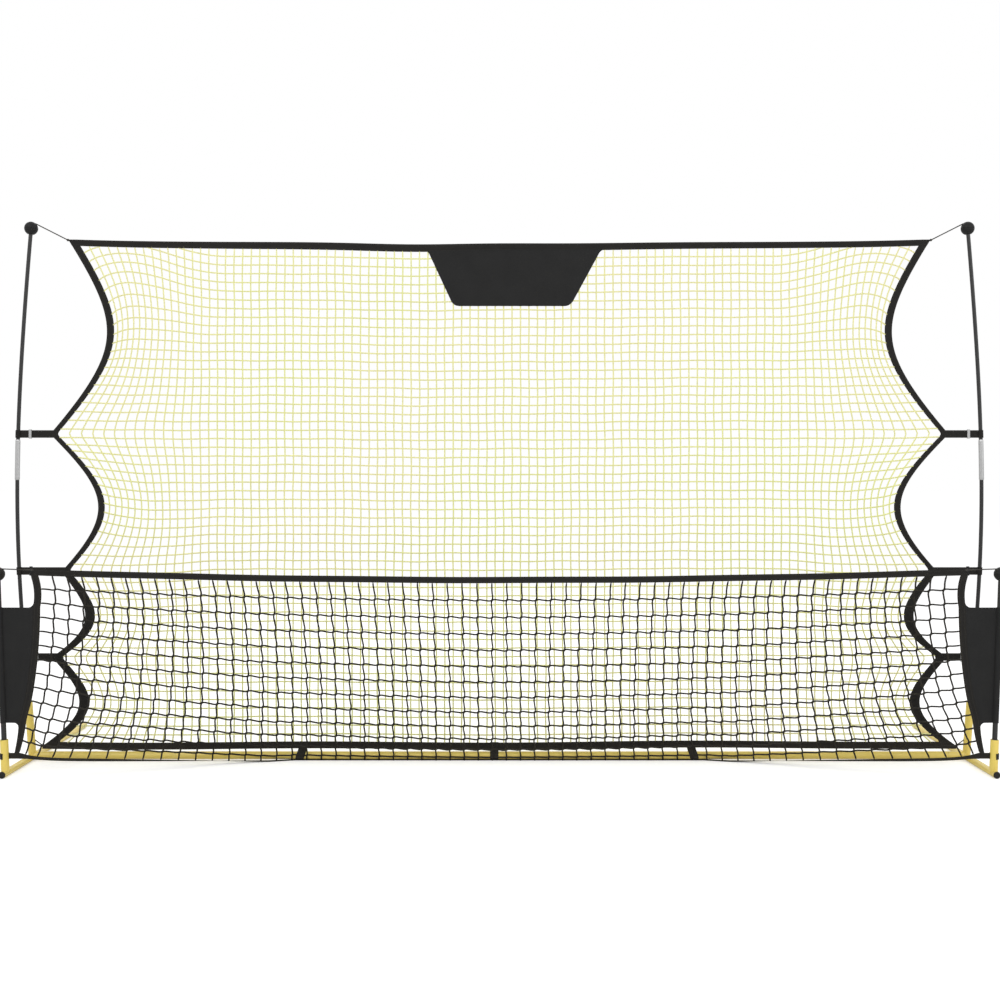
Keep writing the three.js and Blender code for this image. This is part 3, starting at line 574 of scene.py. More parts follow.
class Effects:
    """The shader node groups that several finishes share, each built once."""

    def __init__(self) -> None:
        """Builds the groups."""
        self.variation = self._variation()
        self.ground_dust = self._ground_dust()
        self.weave = self._weave()
        self.stitches = self._stitches()
        self.twist = self._twist()

    @staticmethod
    def _variation() -> bpy.types.NodeTree:
        """Broad and fine cloudiness over a piece, from Object coordinates.

        Returns:
            The group.
        """
        scales = {"Broad Scale": 6.0, "Fine Scale": 400.0}
        graph, scales, ends, place = new_group("surface variation", scales, ["Broad", "Fine"], "Object")
        for scale, end, detail in zip(scales, ends, (3.0, 4.0)):
            graph.feed(end, graph.noise(scale, place, detail))
        return graph.tree

    @staticmethod
    def _ground_dust() -> bpy.types.NodeTree:
        """A mask of dust that thins out upwards from the ground, broken up by noise.

        It is (1 - z / height)^2 * noise * 1.6 * amount.

        Returns:
            The group.
        """
        inputs = {"Height": 0.2, "Amount": 0.3}
        graph, (height, amount), (end,), place = new_group("ground dust", inputs, ["Dust"], "Object")
        z = graph.add("ShaderNodeSeparateXYZ", {"Vector": place}).outputs["Z"]
        low = graph.math("SUBTRACT", 1.0, graph.math("DIVIDE", z, height), clamp=True)
        patchy = graph.math("MULTIPLY", graph.noise(22.0, place, 6.0), 1.6)
        mask = graph.math("MULTIPLY", graph.math("MULTIPLY", low, low), patchy)
        graph.feed(end, graph.math("MULTIPLY", mask, amount, clamp=True))
        return graph.tree

    @staticmethod
    def _weave() -> bpy.types.NodeTree:
        """Slanting ribs that turn back and forth over the width, as on woven webbing, from UV lengths.

        Returns:
            The group.
        """
        graph, (rib, turn), (end,), place = new_group("weave", {"Rib": 0.0012, "Turn": 6.0}, ["Height"], "UV")
        parts = graph.add("ShaderNodeSeparateXYZ", {"Vector": place})
        along = graph.math("DIVIDE", parts.outputs["X"], rib)
        across = graph.math("DIVIDE", parts.outputs["Y"], rib)
        ribs = graph.wave(graph.math("ADD", along, graph.math("PINGPONG", across, turn)))
        threads = graph.wave(graph.math("MULTIPLY", across, 0.5))
        graph.feed(end, graph.math("ADD", graph.math("MULTIPLY", ribs, 0.7), graph.math("MULTIPLY", threads, 0.3)))
        return graph.tree

    @staticmethod
    def _stitches() -> bpy.types.NodeTree:
        """A mask of stitches in two rows, each at one distance from the middle of a strap.

        Returns:
            The group.
        """
        inputs = {"Row": 0.011, "Length": 0.005}
        graph, (row, length), (end,), place = new_group("stitches", inputs, ["Stitch"], "UV")
        parts = graph.add("ShaderNodeSeparateXYZ", {"Vector": place})
        off = graph.math("ABSOLUTE", graph.math("SUBTRACT", graph.math("ABSOLUTE", parts.outputs["Y"]), row))
        thread = graph.math("LESS_THAN", off, 0.0005)
        turn = graph.math("FRACT", graph.math("DIVIDE", parts.outputs["X"], length))
        graph.feed(end, graph.math("MULTIPLY", thread, graph.math("LESS_THAN", turn, 0.7)))
        return graph.tree

    @staticmethod
    def _twist() -> bpy.types.NodeTree:
        """The strands of a laid string: a wave along it and round it, from UV lengths.

        Returns:
            The group.
        """
        graph, (lay, around), (end,), place = new_group("twist", {"Lay": 0.006, "Round": 0.006}, ["Height"], "UV")
        parts = graph.add("ShaderNodeSeparateXYZ", {"Vector": place})
        strands = [
            graph.math("MULTIPLY", graph.math("DIVIDE", parts.outputs[axis], size), 3.0)
            for axis, size in (("X", lay), ("Y", around))
        ]
        graph.feed(end, graph.wave(graph.math("ADD", *strands)))
        return graph.tree


class Material:
    """One material being built: a Principled shader and what feeds it."""

    def __init__(self, name: str, roughness: float, **fixed: float) -> None:
        """Starts the material.

        Args:
            name: Its name.
            roughness: Its roughness where nothing feeds that.
            fixed: Values of sockets that stay the same all over, by name with _ for a space.
        """
        self.block = bpy.data.materials.new(name)
        self.block.use_nodes = True
        self.graph = Graph(self.block.node_tree)
        self.shader = self.block.node_tree.nodes["Principled BSDF"]
        self.shader.inputs["Roughness"].default_value = roughness
        for label, value in fixed.items():
            self.shader.inputs[label.replace("_", " ")].default_value = value

    def group(self, tree: bpy.types.NodeTree, **inputs: float) -> bpy.types.Node:
        """Places a shared effect.

        Args:
            tree: The effect's group.
            inputs: Its values here, by name with _ for a space.

        Returns:
            The group's node.
        """
        node = self.graph.add("ShaderNodeGroup", node_tree=tree)
        for label, value in inputs.items():
            node.inputs[label.replace("_", " ")].default_value = value
        return node

    def colour(self, value: Link) -> None:
        """Feeds the base colour."""
        self.graph.feed(self.shader.inputs["Base Color"], value)

    def rough(self, value: Link, low: float, high: float) -> None:
        """Spreads a value over a range of roughness."""
        self.graph.feed(self.shader.inputs["Roughness"], self.graph.spread(value, low, high))

    def bump(self, height: Link, depth: float) -> None:
        """Raises the surface by a height from 0 to 1 times a depth in metres."""
        node = self.graph.add("ShaderNodeBump", {"Height": height, "Distance": depth, "Strength": 1.0})
        self.graph.feed(self.shader.inputs["Normal"], node.outputs["Normal"])


# ---- finishes

Colour = tuple[int, int, int]

# A distance of the stitches from a strap's middle that no strap reaches, for cloth that has none.
NO_STITCHES = 9.0


@dataclass(frozen=True)
class PaintFinish:
    """Glossy paint on steel, duller with dust near the ground."""

    name: str = "yellow frame paint"
    body: Colour = (238, 212, 104)
    shade: Colour = (228, 202, 92)
    dust: Colour = (166, 156, 132)

    def make(self, effects: Effects) -> bpy.types.Material:
        """Builds the material: cloudy colour, orange-peel bump and ground dust.

        Args:
            effects: The shared effects.

        Returns:
            The material.
        """
        paint = Material(self.name, 0.3, Coat_Weight=0.35, Coat_Roughness=0.12)
        cloud = paint.group(effects.variation, Broad_Scale=9.0, Fine_Scale=700.0)
        dust = paint.group(effects.ground_dust, Height=0.09, Amount=0.15)
        tone = paint.graph.mix(cloud.outputs["Broad"], linear(*self.body), linear(*self.shade))
        paint.colour(paint.graph.mix(dust.outputs["Dust"], tone, linear(*self.dust)))
        worn = paint.graph.math("ADD", cloud.outputs["Fine"], dust.outputs["Dust"], clamp=True)
        paint.rough(worn, 0.22, 0.5)
        paint.bump(cloud.outputs["Fine"], 0.00006)
        return paint.block


@dataclass(frozen=True)
class PlasticFinish:
    """Moulded plastic with a fine grain."""

    name: str
    body: Colour
    worn: Colour
    grain: float = 0.00008
    low: float = 0.42
    high: float = 0.62
    dust: Colour = (120, 114, 102)

    def make(self, effects: Effects) -> bpy.types.Material:
        """Builds the material: rubbed patches, grain and dust.

        Args:
            effects: The shared effects.

        Returns:
            The material.
        """
        plastic = Material(self.name, 0.5, Specular_IOR_Level=0.22)
        cloud = plastic.group(effects.variation, Broad_Scale=30.0, Fine_Scale=1600.0)
        dust = plastic.group(effects.ground_dust, Height=0.12, Amount=0.06)
        tone = plastic.graph.mix(cloud.outputs["Broad"], linear(*self.body), linear(*self.worn))
        plastic.colour(plastic.graph.mix(dust.outputs["Dust"], tone, linear(*self.dust)))
        plastic.rough(cloud.outputs["Broad"], self.low, self.high)
        plastic.bump(cloud.outputs["Fine"], self.grain)
        return plastic.block


@dataclass(frozen=True)
class RodFinish:
    """A drawn rod with faint streaks along it."""

    name: str
    body: Colour
    streak: Colour
    metallic: float = 0.0
    low: float = 0.25
    high: float = 0.45

    def make(self, effects: Effects) -> bpy.types.Material:
        """Builds the material: noise drawn out along the rod, in colour, gloss and bump.

        Args:
            effects: The shared effects.

        Returns:
            The material.
        """
        rod = Material(self.name, 0.35, Metallic=self.metallic)
        graph = rod.graph
        place = graph.add("ShaderNodeTexCoord").outputs["Object"]
        stretched = graph.add("ShaderNodeMapping", {"Vector": place, "Scale": (900.0, 900.0, 14.0)})
        lines = graph.noise(1.0, stretched.outputs["Vector"], 4.0)
        cloud = rod.group(effects.variation, Broad_Scale=5.0, Fine_Scale=900.0)
        share = graph.math("MULTIPLY", lines, cloud.outputs["Broad"])
        rod.colour(graph.mix(share, linear(*self.body), linear(*self.streak)))
        rod.rough(lines, self.low, self.high)
        rod.bump(lines, 0.00005)
        return rod.block


@dataclass(frozen=True)
class WebbingFinish:
    """Woven webbing with slanting ribs and two rows of stitches; its raised ribs are painted lighter than the grooves
    between them, as painted shade.
    """

    name: str
    body: Colour = (30, 29, 27)
    # high is the colour of the raised ribs and body that of the grooves: a painted highlight and shade of the weave.
    high: Colour = (46, 44, 42)
    thread: Colour = (58, 56, 53)
    row: float = 0.0095
    rib: float = 0.0016
    dust: Colour = (112, 106, 94)

    def make(self, effects: Effects) -> bpy.types.Material:
        """Builds the material: ribs in bump and in colour, the raised ribs lighter and the grooves darker as painted
        shade, stitches on top.

        Args:
            effects: The shared effects.

        Returns:
            The material.
        """
        webbing = Material(self.name, 0.85, Specular_IOR_Level=0.2)
        weave = webbing.group(effects.weave, Rib=self.rib, Turn=5.0)
        sewn = webbing.group(effects.stitches, Row=self.row, Length=0.006)
        cloud = webbing.group(effects.variation, Broad_Scale=14.0, Fine_Scale=900.0)
        dust = webbing.group(effects.ground_dust, Height=0.16, Amount=0.15)
        graph = webbing.graph
        # Painted shade: the weave's grooves keep the darker body colour and its raised ribs take the lighter high
        # colour, in patches set by the broad noise.
        share = graph.math("MULTIPLY", weave.outputs["Height"], cloud.outputs["Broad"])
        tone = graph.mix(share, linear(*self.body), linear(*self.high))
        tone = graph.mix(sewn.outputs["Stitch"], tone, linear(*self.thread))
        webbing.colour(graph.mix(dust.outputs["Dust"], tone, linear(*self.dust)))
        raised = graph.math("ADD", weave.outputs["Height"], sewn.outputs["Stitch"])
        webbing.bump(raised, 0.0003)
        webbing.rough(cloud.outputs["Fine"], 0.75, 0.95)
        return webbing.block


@dataclass(frozen=True)
class TwineFinish:
    """Laid string whose colour drifts a little over the net, with the grooves between its strands painted darker as
    shade.
    """

    name: str
    body: Colour
    drift: Colour
    radius: float
    scale: float = 1.4
    # strand is the share of black mixed into the grooves between strands: a painted shade.
    strand: float = 0.2

    def make(self, effects: Effects) -> bpy.types.Material:
        """Builds the material: painted shade in the grooves between strands, strands in bump, over a slow drift of
        colour.

        Args:
            effects: The shared effects.

        Returns:
            The material.
        """
        twine = Material(self.name, 0.8, Specular_IOR_Level=0.15)
        lay = twine.group(effects.twist, Lay=self.radius * 9, Round=self.radius * CIRCLE)
        cloud = twine.group(effects.variation, Broad_Scale=self.scale, Fine_Scale=500.0)
        graph = twine.graph
        slow = graph.spread(cloud.outputs["Broad"], -1.0, 2.0)
        slow = graph.math("ADD", slow, 0.0, clamp=True)
        tone = graph.mix(slow, linear(*self.body), linear(*self.drift))
        # Painted shade: the grooves between the strands are darkened towards black by the strand share.
        shaded_grooves = graph.mix(self.strand, tone, (0.0, 0.0, 0.0, 1.0))
        twine.colour(graph.mix(lay.outputs["Height"], shaded_grooves, tone))
        twine.bump(lay.outputs["Height"], self.radius * 0.3)
        twine.rough(cloud.outputs["Fine"], 0.7, 0.9)
        return twine.block


@dataclass(frozen=True)
class Coat:
    """A made material and the record's slot that it belongs to."""

    material: bpy.types.Material
    slot: Slot


@dataclass(frozen=True)
class Finishes:
    """Every finish of the object, made."""

    paint: Coat
    plastic: Coat
    rod: Coat
    ferrule: Coat
    steel: Coat
    slider: Coat
    webbing: Coat
    narrow_webbing: Coat
    cloth: Coat
    pale_twine: Coat
    black_twine: Coat
    cord: Coat

    @classmethod
    def build(cls) -> "Finishes":
        """Makes them all from the shared effects.

        Returns:
            The finishes.
        """
        black, grey = (18, 18, 18), (46, 46, 46)
        # The panel cloth has the same painted rib shade, with grey on its raised ribs.
        cloth = WebbingFinish("black panel cloth", (33, 33, 33), grey, grey, NO_STITCHES, 0.0011)
        # The pale twine gets less painted groove shade (strand) than the other twines.
        pale_twine = TwineFinish("pale net twine", (242, 244, 170), (248, 243, 184), PALE_STRING, strand=0.1)
        finishes = {
            "paint": (PaintFinish(), Slot.PAINT),
            "plastic": (PlasticFinish("black moulded plastic", black, (30, 30, 30)), Slot.PLASTIC),
            "rod": (RodFinish("black pole rod", black, (40, 40, 40)), Slot.ROD),
            "ferrule": (RodFinish("satin ferrule", (172, 172, 172), (205, 205, 205), 0.85), Slot.FERRULE),
            "steel": (RodFinish("button steel", (150, 150, 150), (190, 190, 190), 1.0), Slot.BUTTON),
            "slider": (PlasticFinish("pale slider plastic", (165, 165, 165), (188, 188, 188)), Slot.SLIDER),
            "webbing": (WebbingFinish("black webbing"), Slot.WEBBING),
            "narrow_webbing": (WebbingFinish("narrow black webbing", row=0.0065), Slot.WEBBING),
            "cloth": (cloth, Slot.CLOTH),
            "pale_twine": (pale_twine, Slot.PALE_NET),
            "black_twine": (TwineFinish("black net twine", (36, 34, 30), (52, 49, 44), BLACK_STRING), Slot.BLACK_NET),
            "cord": (TwineFinish("grey tie cord", (82, 80, 76), (60, 58, 55), CORD_RADIUS, 20.0), Slot.CORD),
        }
        effects = Effects()
        return cls(**{name: Coat(finish.make(effects), slot) for name, (finish, slot) in finishes.items()})


def dress(piece: bpy.types.Object, coat: Coat, *nodes: str, body: str = ROOT) -> None:
    """Gives a piece its material and its body, hides the CAD nodes that it stands for, and reports it.

    Args:
        piece: The finished piece.
        coat: Its material and slot.
        nodes: The CAD nodes that it replaces, if any.
        body: The body that it rides on.
    """
    piece.data.materials.clear()
    piece.data.materials.append(coat.material)
    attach(piece, body)
    if nodes:
        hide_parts(*nodes)
    log.info("%s: %d faces for %s", piece.name, len(piece.data.polygons), ", ".join(nodes) or "no node")


# ---- shared layout


class Side(Enum):
    """The right or the left side, with the sign of its x."""

    RIGHT = 1.0
    LEFT = -1.0

    def __str__(self) -> str:
        """The side's name, as it stands in the names of nodes and pieces."""
        return self.name.lower()

    def mirror(self, points: Array) -> Array:
        """Points of the right side, or their mirror images for the left side."""
        return points * np.array([self.value, 1.0, 1.0])


@dataclass(frozen=True)
class Layout:
    """Sizes and places that several parts of the object share."""

    half_span: float = 1.830
    half_depth: float = 0.450
    side_radius: float = 0.013
    side_axis: float = 0.01275
    bar_y: float = -0.150
    bar_radius: float = 0.015
    bar_axis: float = 0.01831
    low_y: float = -0.415
    socket_radius: float = 0.015
    pole_foot: float = 0.0275
    cap_radius: float = 0.026
    cap_cut: float = 0.023
    cap_hold: float = 0.014
    low_cap_height: float = 0.750


LAYOUT = Layout()


@dataclass(frozen=True)
class Stand:
    """A socket that leans outwards on the right side tube, and the pole in it."""

    name: str
    y: float
    splay: float
    socket_top: float
    pole_radius: float

    @property
    def way(self) -> Array:
        """The direction in which it leans."""
        return np.array([math.sin(self.splay), 0.0, math.cos(self.splay)])

    def at(self, height: float) -> Array:
        """The point of its axis at a height."""
        foot = np.array([LAYOUT.half_span, self.y, LAYOUT.side_axis])
        return foot + self.way * (height - LAYOUT.side_axis) / self.way[2]


TALL = Stand("tall", LAYOUT.bar_y, math.radians(4.2), 0.226, 0.0075)
LOW = Stand("low", LAYOUT.low_y, math.radians(2.2), 0.137, 0.0095)


@dataclass(frozen=True)
class Bow:
    """The centre line of the right tall pole, which bows outwards."""

    cap: tuple[float, float, float] = (1.8354, LAYOUT.bar_y, 2.083)
    tip_lean: float = math.radians(4.9)
    low_pull: float = 0.550
    high_pull: float = 1.050

    @property
    def tip_way(self) -> Array:
        """Its direction at the tip."""
        return np.array([-math.sin(self.tip_lean), 0.0, math.cos(self.tip_lean)])

    def line(self) -> Array:
        """The whole line: straight in its socket, a cubic curve between, straight in its cap.

        With t from 0 to 1 the curve is (1-t)^3 * rim + 3(1-t)^2 * t * low + 3(1-t) * t^2 * high + t^3 * tip. Its
        point low lies on from the socket's rim, and its point high back from the tip.

        Returns:
            Its points from the foot up.
        """
        rim, tip = TALL.at(TALL.socket_top), np.array(self.cap)
        t = np.linspace(0.0, 1.0, 160)[:, None]
        low, high = rim + TALL.way * self.low_pull, tip - self.tip_way * self.high_pull
        bow = (1 - t) ** 3 * rim + 3 * (1 - t) ** 2 * t * low + 3 * (1 - t) * t**2 * high + t**3 * tip
        foot = TALL.at(LAYOUT.pole_foot)
        straight = foot + (rim - foot) * np.linspace(0.0, 1.0, 8)[:-1, None]
        return np.concatenate([straight, bow, [tip + self.tip_way * LAYOUT.cap_hold]])

    def stretch(self, low: float, high: float, count: int = 90) -> Array:
        """The part of the line between two heights.

        Args:
            low: The lower height.
            high: The upper height.
            count: How many points it gets.

        Returns:
            Its points, evenly spaced in height.
        """
        line = self.line()
        heights = np.linspace(low, high, count)
        return np.stack([np.interp(heights, line[:, 2], line[:, k]) for k in range(3)], axis=1)

    def at(self, height: float) -> tuple[Array, Array]:
        """The point of the line at a height, and the line's direction there."""
        near = self.stretch(height - 0.01, height + 0.01, 3)
        return near[1], unit(near[2] - near[0])


BOW = Bow()


# ---- base


@dataclass
class Base:
    """Side tubes, crossbar, sockets, plugs and snap buttons."""

    finishes: Finishes
    wall: float = 0.0015
    gap: float = 0.0003
    plug_head: float = 0.003
    plug_insert: float = 0.020
    plug_ease: float = 0.001
    plug_round: float = 0.002
    stub_reach: float = 0.074
    stub_short: float = 0.004
    middle_half: float = 0.585
    spigot: float = 0.060
    spigot_hold: float = 0.030
    spigot_radius: float = 0.0132
    socket_foot: float = 0.016
    bush_foot: float = 0.010
    bush_drop: float = 0.001
    bead: float = 0.0021
    bead_points: int = 160
    root_points: int = 150
    button_place: float = 0.030
    button_radius: float = 0.0035
    button_round: float = 0.0012
    button_foot: float = 0.0085
    button_proud: float = 0.0018
    leaf_half: float = 0.013
    leaf_place: float = 0.0093
    leaf_bow: float = 0.0006
    leaf_width: float = 0.009
    leaf_thickness: float = 0.0008

    def build(self) -> None:
        """Builds every piece of the base."""
        for side in Side:
            self.side_tube(side)
            self.stub(side)
            self.socket(TALL, side)
            self.socket(LOW, side)
            self.outer_bar(side)
            self.button("outer", side, self.stub_end + self.button_place)
            self.button("inner", side, self.middle_half + self.button_place)
        self.middle_bar()

    @property
    def stub_end(self) -> float:
        """Where the crossbar's outer length meets its stub."""
        return LAYOUT.half_span - self.stub_reach

    def tube(self, shell: Shell, start: Array, way: Array, length: float, radius: float) -> Shell:
        """Adds a plain steel tube to a mesh, from the middle of its first end along a unit direction."""
        return turned(shell, start, way, tube_profile(length, radius, radius - self.wall))

    def spigot_at(self, shell: Shell, end: float, side: Side) -> Shell:
        """Adds to a bar that ends at x = end the spigot that goes on into the next one."""
        start = np.array([side.value * (end - self.spigot_hold), LAYOUT.bar_y, LAYOUT.bar_axis])
        return self.tube(shell, start, side.value * RIGHT, self.spigot + self.spigot_hold, self.spigot_radius)

    def side_tube(self, side: Side) -> None:
        """A side tube and the plugs in its two ends.

        Args:
            side: The side it is on.
        """
        x, z, radius = side.value * LAYOUT.half_span, LAYOUT.side_axis, LAYOUT.side_radius
        inset = self.plug_head + self.gap
        start = np.array([x, -LAYOUT.half_depth + inset, z])
        shell = self.tube(Shell(), start, BACK, 2 * (LAYOUT.half_depth - inset), radius)
        dress(shell.made(f"round_side_tube_{side}"), self.finishes.paint, f"side_tube_{side}")
        insert, shank = self.plug_insert, radius - self.wall - self.gap
        foot = [[0.0, shank - self.plug_ease], [self.plug_ease, shank], [insert, shank], [insert, radius]]
        profile = np.concatenate([foot, eased_rim(insert + self.plug_head, radius, self.plug_round)])
        for end, way in (("front", -1.0), ("rear", 1.0)):
            first = np.array([x, way * (LAYOUT.half_depth - insert - self.plug_head), z])
            name = f"{end}_end_plug_{side}"
            dress(turned(Shell(), first, way * BACK, profile).made(f"moulded_{name}"), self.finishes.plastic, name)

    def weld(self, name: str, path: Array, across: Array) -> None:
        """A weld bead: a small round section along a closed path, whose radius swells by a tenth and back.

        Args:
            name: The piece's name.
            path: The closed path.
            across: The section's first axis.
        """
        count = len(path)
        ripple = 1 + 0.10 * np.sin(np.arange(count) / count * CIRCLE * (count // 5))
        section = round_section(self.bead, 10)[None] * ripple[:, None, None]
        rings = rings_on(path, section, across, loop=True)
        shell = Shell().carried(rings, lengths(path, True), round_across(self.bead, 10), True)
        dress(shell.made(name, SOFT_EDGE), self.finishes.paint)

    def stub(self, side: Side) -> None:
        """The crossbar stub welded to a side tube, with the bead round its root.

        The bead goes round the stub where that meets the side tube or, above its middle, the tall socket, and
        its x is the mean of nine neighbours.

        Args:
            side: The side it is on.
        """
        radius, y, z = LAYOUT.bar_radius, LAYOUT.bar_y, LAYOUT.bar_axis
        start = np.array([side.value * (self.stub_end + self.gap), y, z])
        length = LAYOUT.half_span - self.stub_short - self.stub_end
        name = f"crossbar_stub_{side}"
        shell = self.tube(Shell(), start, side.value * RIGHT, length, radius)
        dress(shell.made(f"round_{name}"), self.finishes.paint, name)
        count = self.bead_points
        angle = np.linspace(0.0, CIRCLE, count, endpoint=False)
        height, back = z + radius * np.sin(angle), radius * np.cos(angle)
        tube = np.sqrt(np.maximum(LAYOUT.side_radius**2 - (height - LAYOUT.side_axis) ** 2, 0.0))
        post = np.sqrt(np.maximum(LAYOUT.socket_radius**2 - back**2, 0.0)) * (height > z)
        x = LAYOUT.half_span - np.maximum(tube, post)
        x = np.convolve(np.tile(x, 3), np.ones(9) / 9, "same")[count : 2 * count]
        self.weld(f"stub_weld_{side}", points_at(side.value * x, y + back, height), RIGHT)

    def socket(self, stand: Stand, side: Side) -> None:
        """A pole socket on a side tube, its weld bead and the bush inside it.

        Args:
            stand: Which pole's socket it is.
            side: The side it is on.
        """
        radius, bore = LAYOUT.socket_radius, LAYOUT.socket_radius - self.wall
        way = side.mirror(stand.way)
        foot, rim = side.mirror(stand.at(self.socket_foot)), side.mirror(stand.at(stand.socket_top))
        length = float(np.linalg.norm(rim - foot))
        name, bush = f"{stand.name}_socket_{side}", f"{stand.name}_socket_bush_{side}"
        shell = self.tube(Shell(), foot, way, length, radius)
        dress(shell.made(f"round_{name}"), self.finishes.paint, name)
        inside = length - self.bush_drop - self.bush_foot
        profile = tube_profile(inside, bore - self.gap, stand.pole_radius + self.gap)
        shell = turned(Shell(), foot + way * self.bush_foot, way, profile)
        dress(shell.made(f"round_{bush}"), self.finishes.plastic, bush)
        self.weld(f"{stand.name}_socket_weld_{side}", self.root_of(foot, way, radius), way)

    def root_of(self, foot: Array, way: Array, radius: float) -> Array:
        """Where a leaning tube meets a side tube: the height h solves |across + h * way| = tube radius.

        Args:
            foot: A point of the leaning tube's axis.
            way: Its unit direction.
            radius: Its outer radius.

        Returns:
            The points round its root.
        """
        angle = np.linspace(0.0, CIRCLE, self.root_points, endpoint=False)
        first = unit(np.cross(BACK, way))
        second = np.cross(way, first)
        start = foot + radius * (np.cos(angle)[:, None] * first + np.sin(angle)[:, None] * second)
        x = start[:, 0] - math.copysign(LAYOUT.half_span, foot[0])
        z = start[:, 2] - LAYOUT.side_axis
        a = way[0] ** 2 + way[2] ** 2
        b = 2 * (x * way[0] + z * way[2])
        c = x**2 + z**2 - LAYOUT.side_radius**2
        h = (-b + np.sqrt(np.maximum(b**2 - 4 * a * c, 0.0))) / (2 * a)
        return start + h[:, None] * way

    def outer_bar(self, side: Side) -> None:
        """An outer length of the crossbar with the spigot that goes into its stub.

        Args:
            side: The side it is on.
        """
        start, name = self.middle_half + self.gap, f"crossbar_{side}"
        place = np.array([side.value * start, LAYOUT.bar_y, LAYOUT.bar_axis])
        shell = self.tube(Shell(), place, side.value * RIGHT, self.stub_end - start, LAYOUT.bar_radius)
        self.spigot_at(shell, self.stub_end, side)
        dress(shell.made(f"round_{name}"), self.finishes.paint, name)

    def middle_bar(self) -> None:
        """The middle length of the crossbar with a spigot at either end."""
        place = np.array([-self.middle_half, LAYOUT.bar_y, LAYOUT.bar_axis])
        shell = self.tube(Shell(), place, RIGHT, 2 * self.middle_half, LAYOUT.bar_radius)
        for side in Side:
            self.spigot_at(shell, self.middle_half, side)
        dress(shell.made("round_crossbar_middle"), self.finishes.paint, "crossbar_middle")

    def button(self, kind: str, side: Side, x: float) -> None:
        """A domed snap button on its bowed leaf, which rides on its own body.

        Args:
            kind: Which joint's button it is, as in its node's name.
            side: The side it is on.
            x: How far from the middle it lies.
        """
        ease, foot, radius = 0.0002, self.button_foot, self.button_radius
        tip = LAYOUT.bar_radius + self.button_proud
        dome = eased_rim(tip, radius, self.button_round)
        profile = np.concatenate([[[foot, radius - ease], [foot + ease, radius]], dome])
        place = np.array([side.value * x, LAYOUT.bar_y, LAYOUT.bar_axis])
        shell = turned(Shell(), place, BACK, profile, 32)
        bend = np.linspace(-1.0, 1.0, 15)
        depth = self.leaf_place - self.leaf_bow * bend**2
        leaf = points_at(place[0] + self.leaf_half * bend, place[1] + depth, place[2])
        section = strap_section(self.leaf_width, self.leaf_thickness)
        shell.carried(rings_on(leaf, section, UP), lengths(leaf), closed_across(section))
        name = f"{kind}_snap_button_{side}"
        dress(shell.made(f"domed_{name}"), self.finishes.steel, name, body=name)


# ---- poles


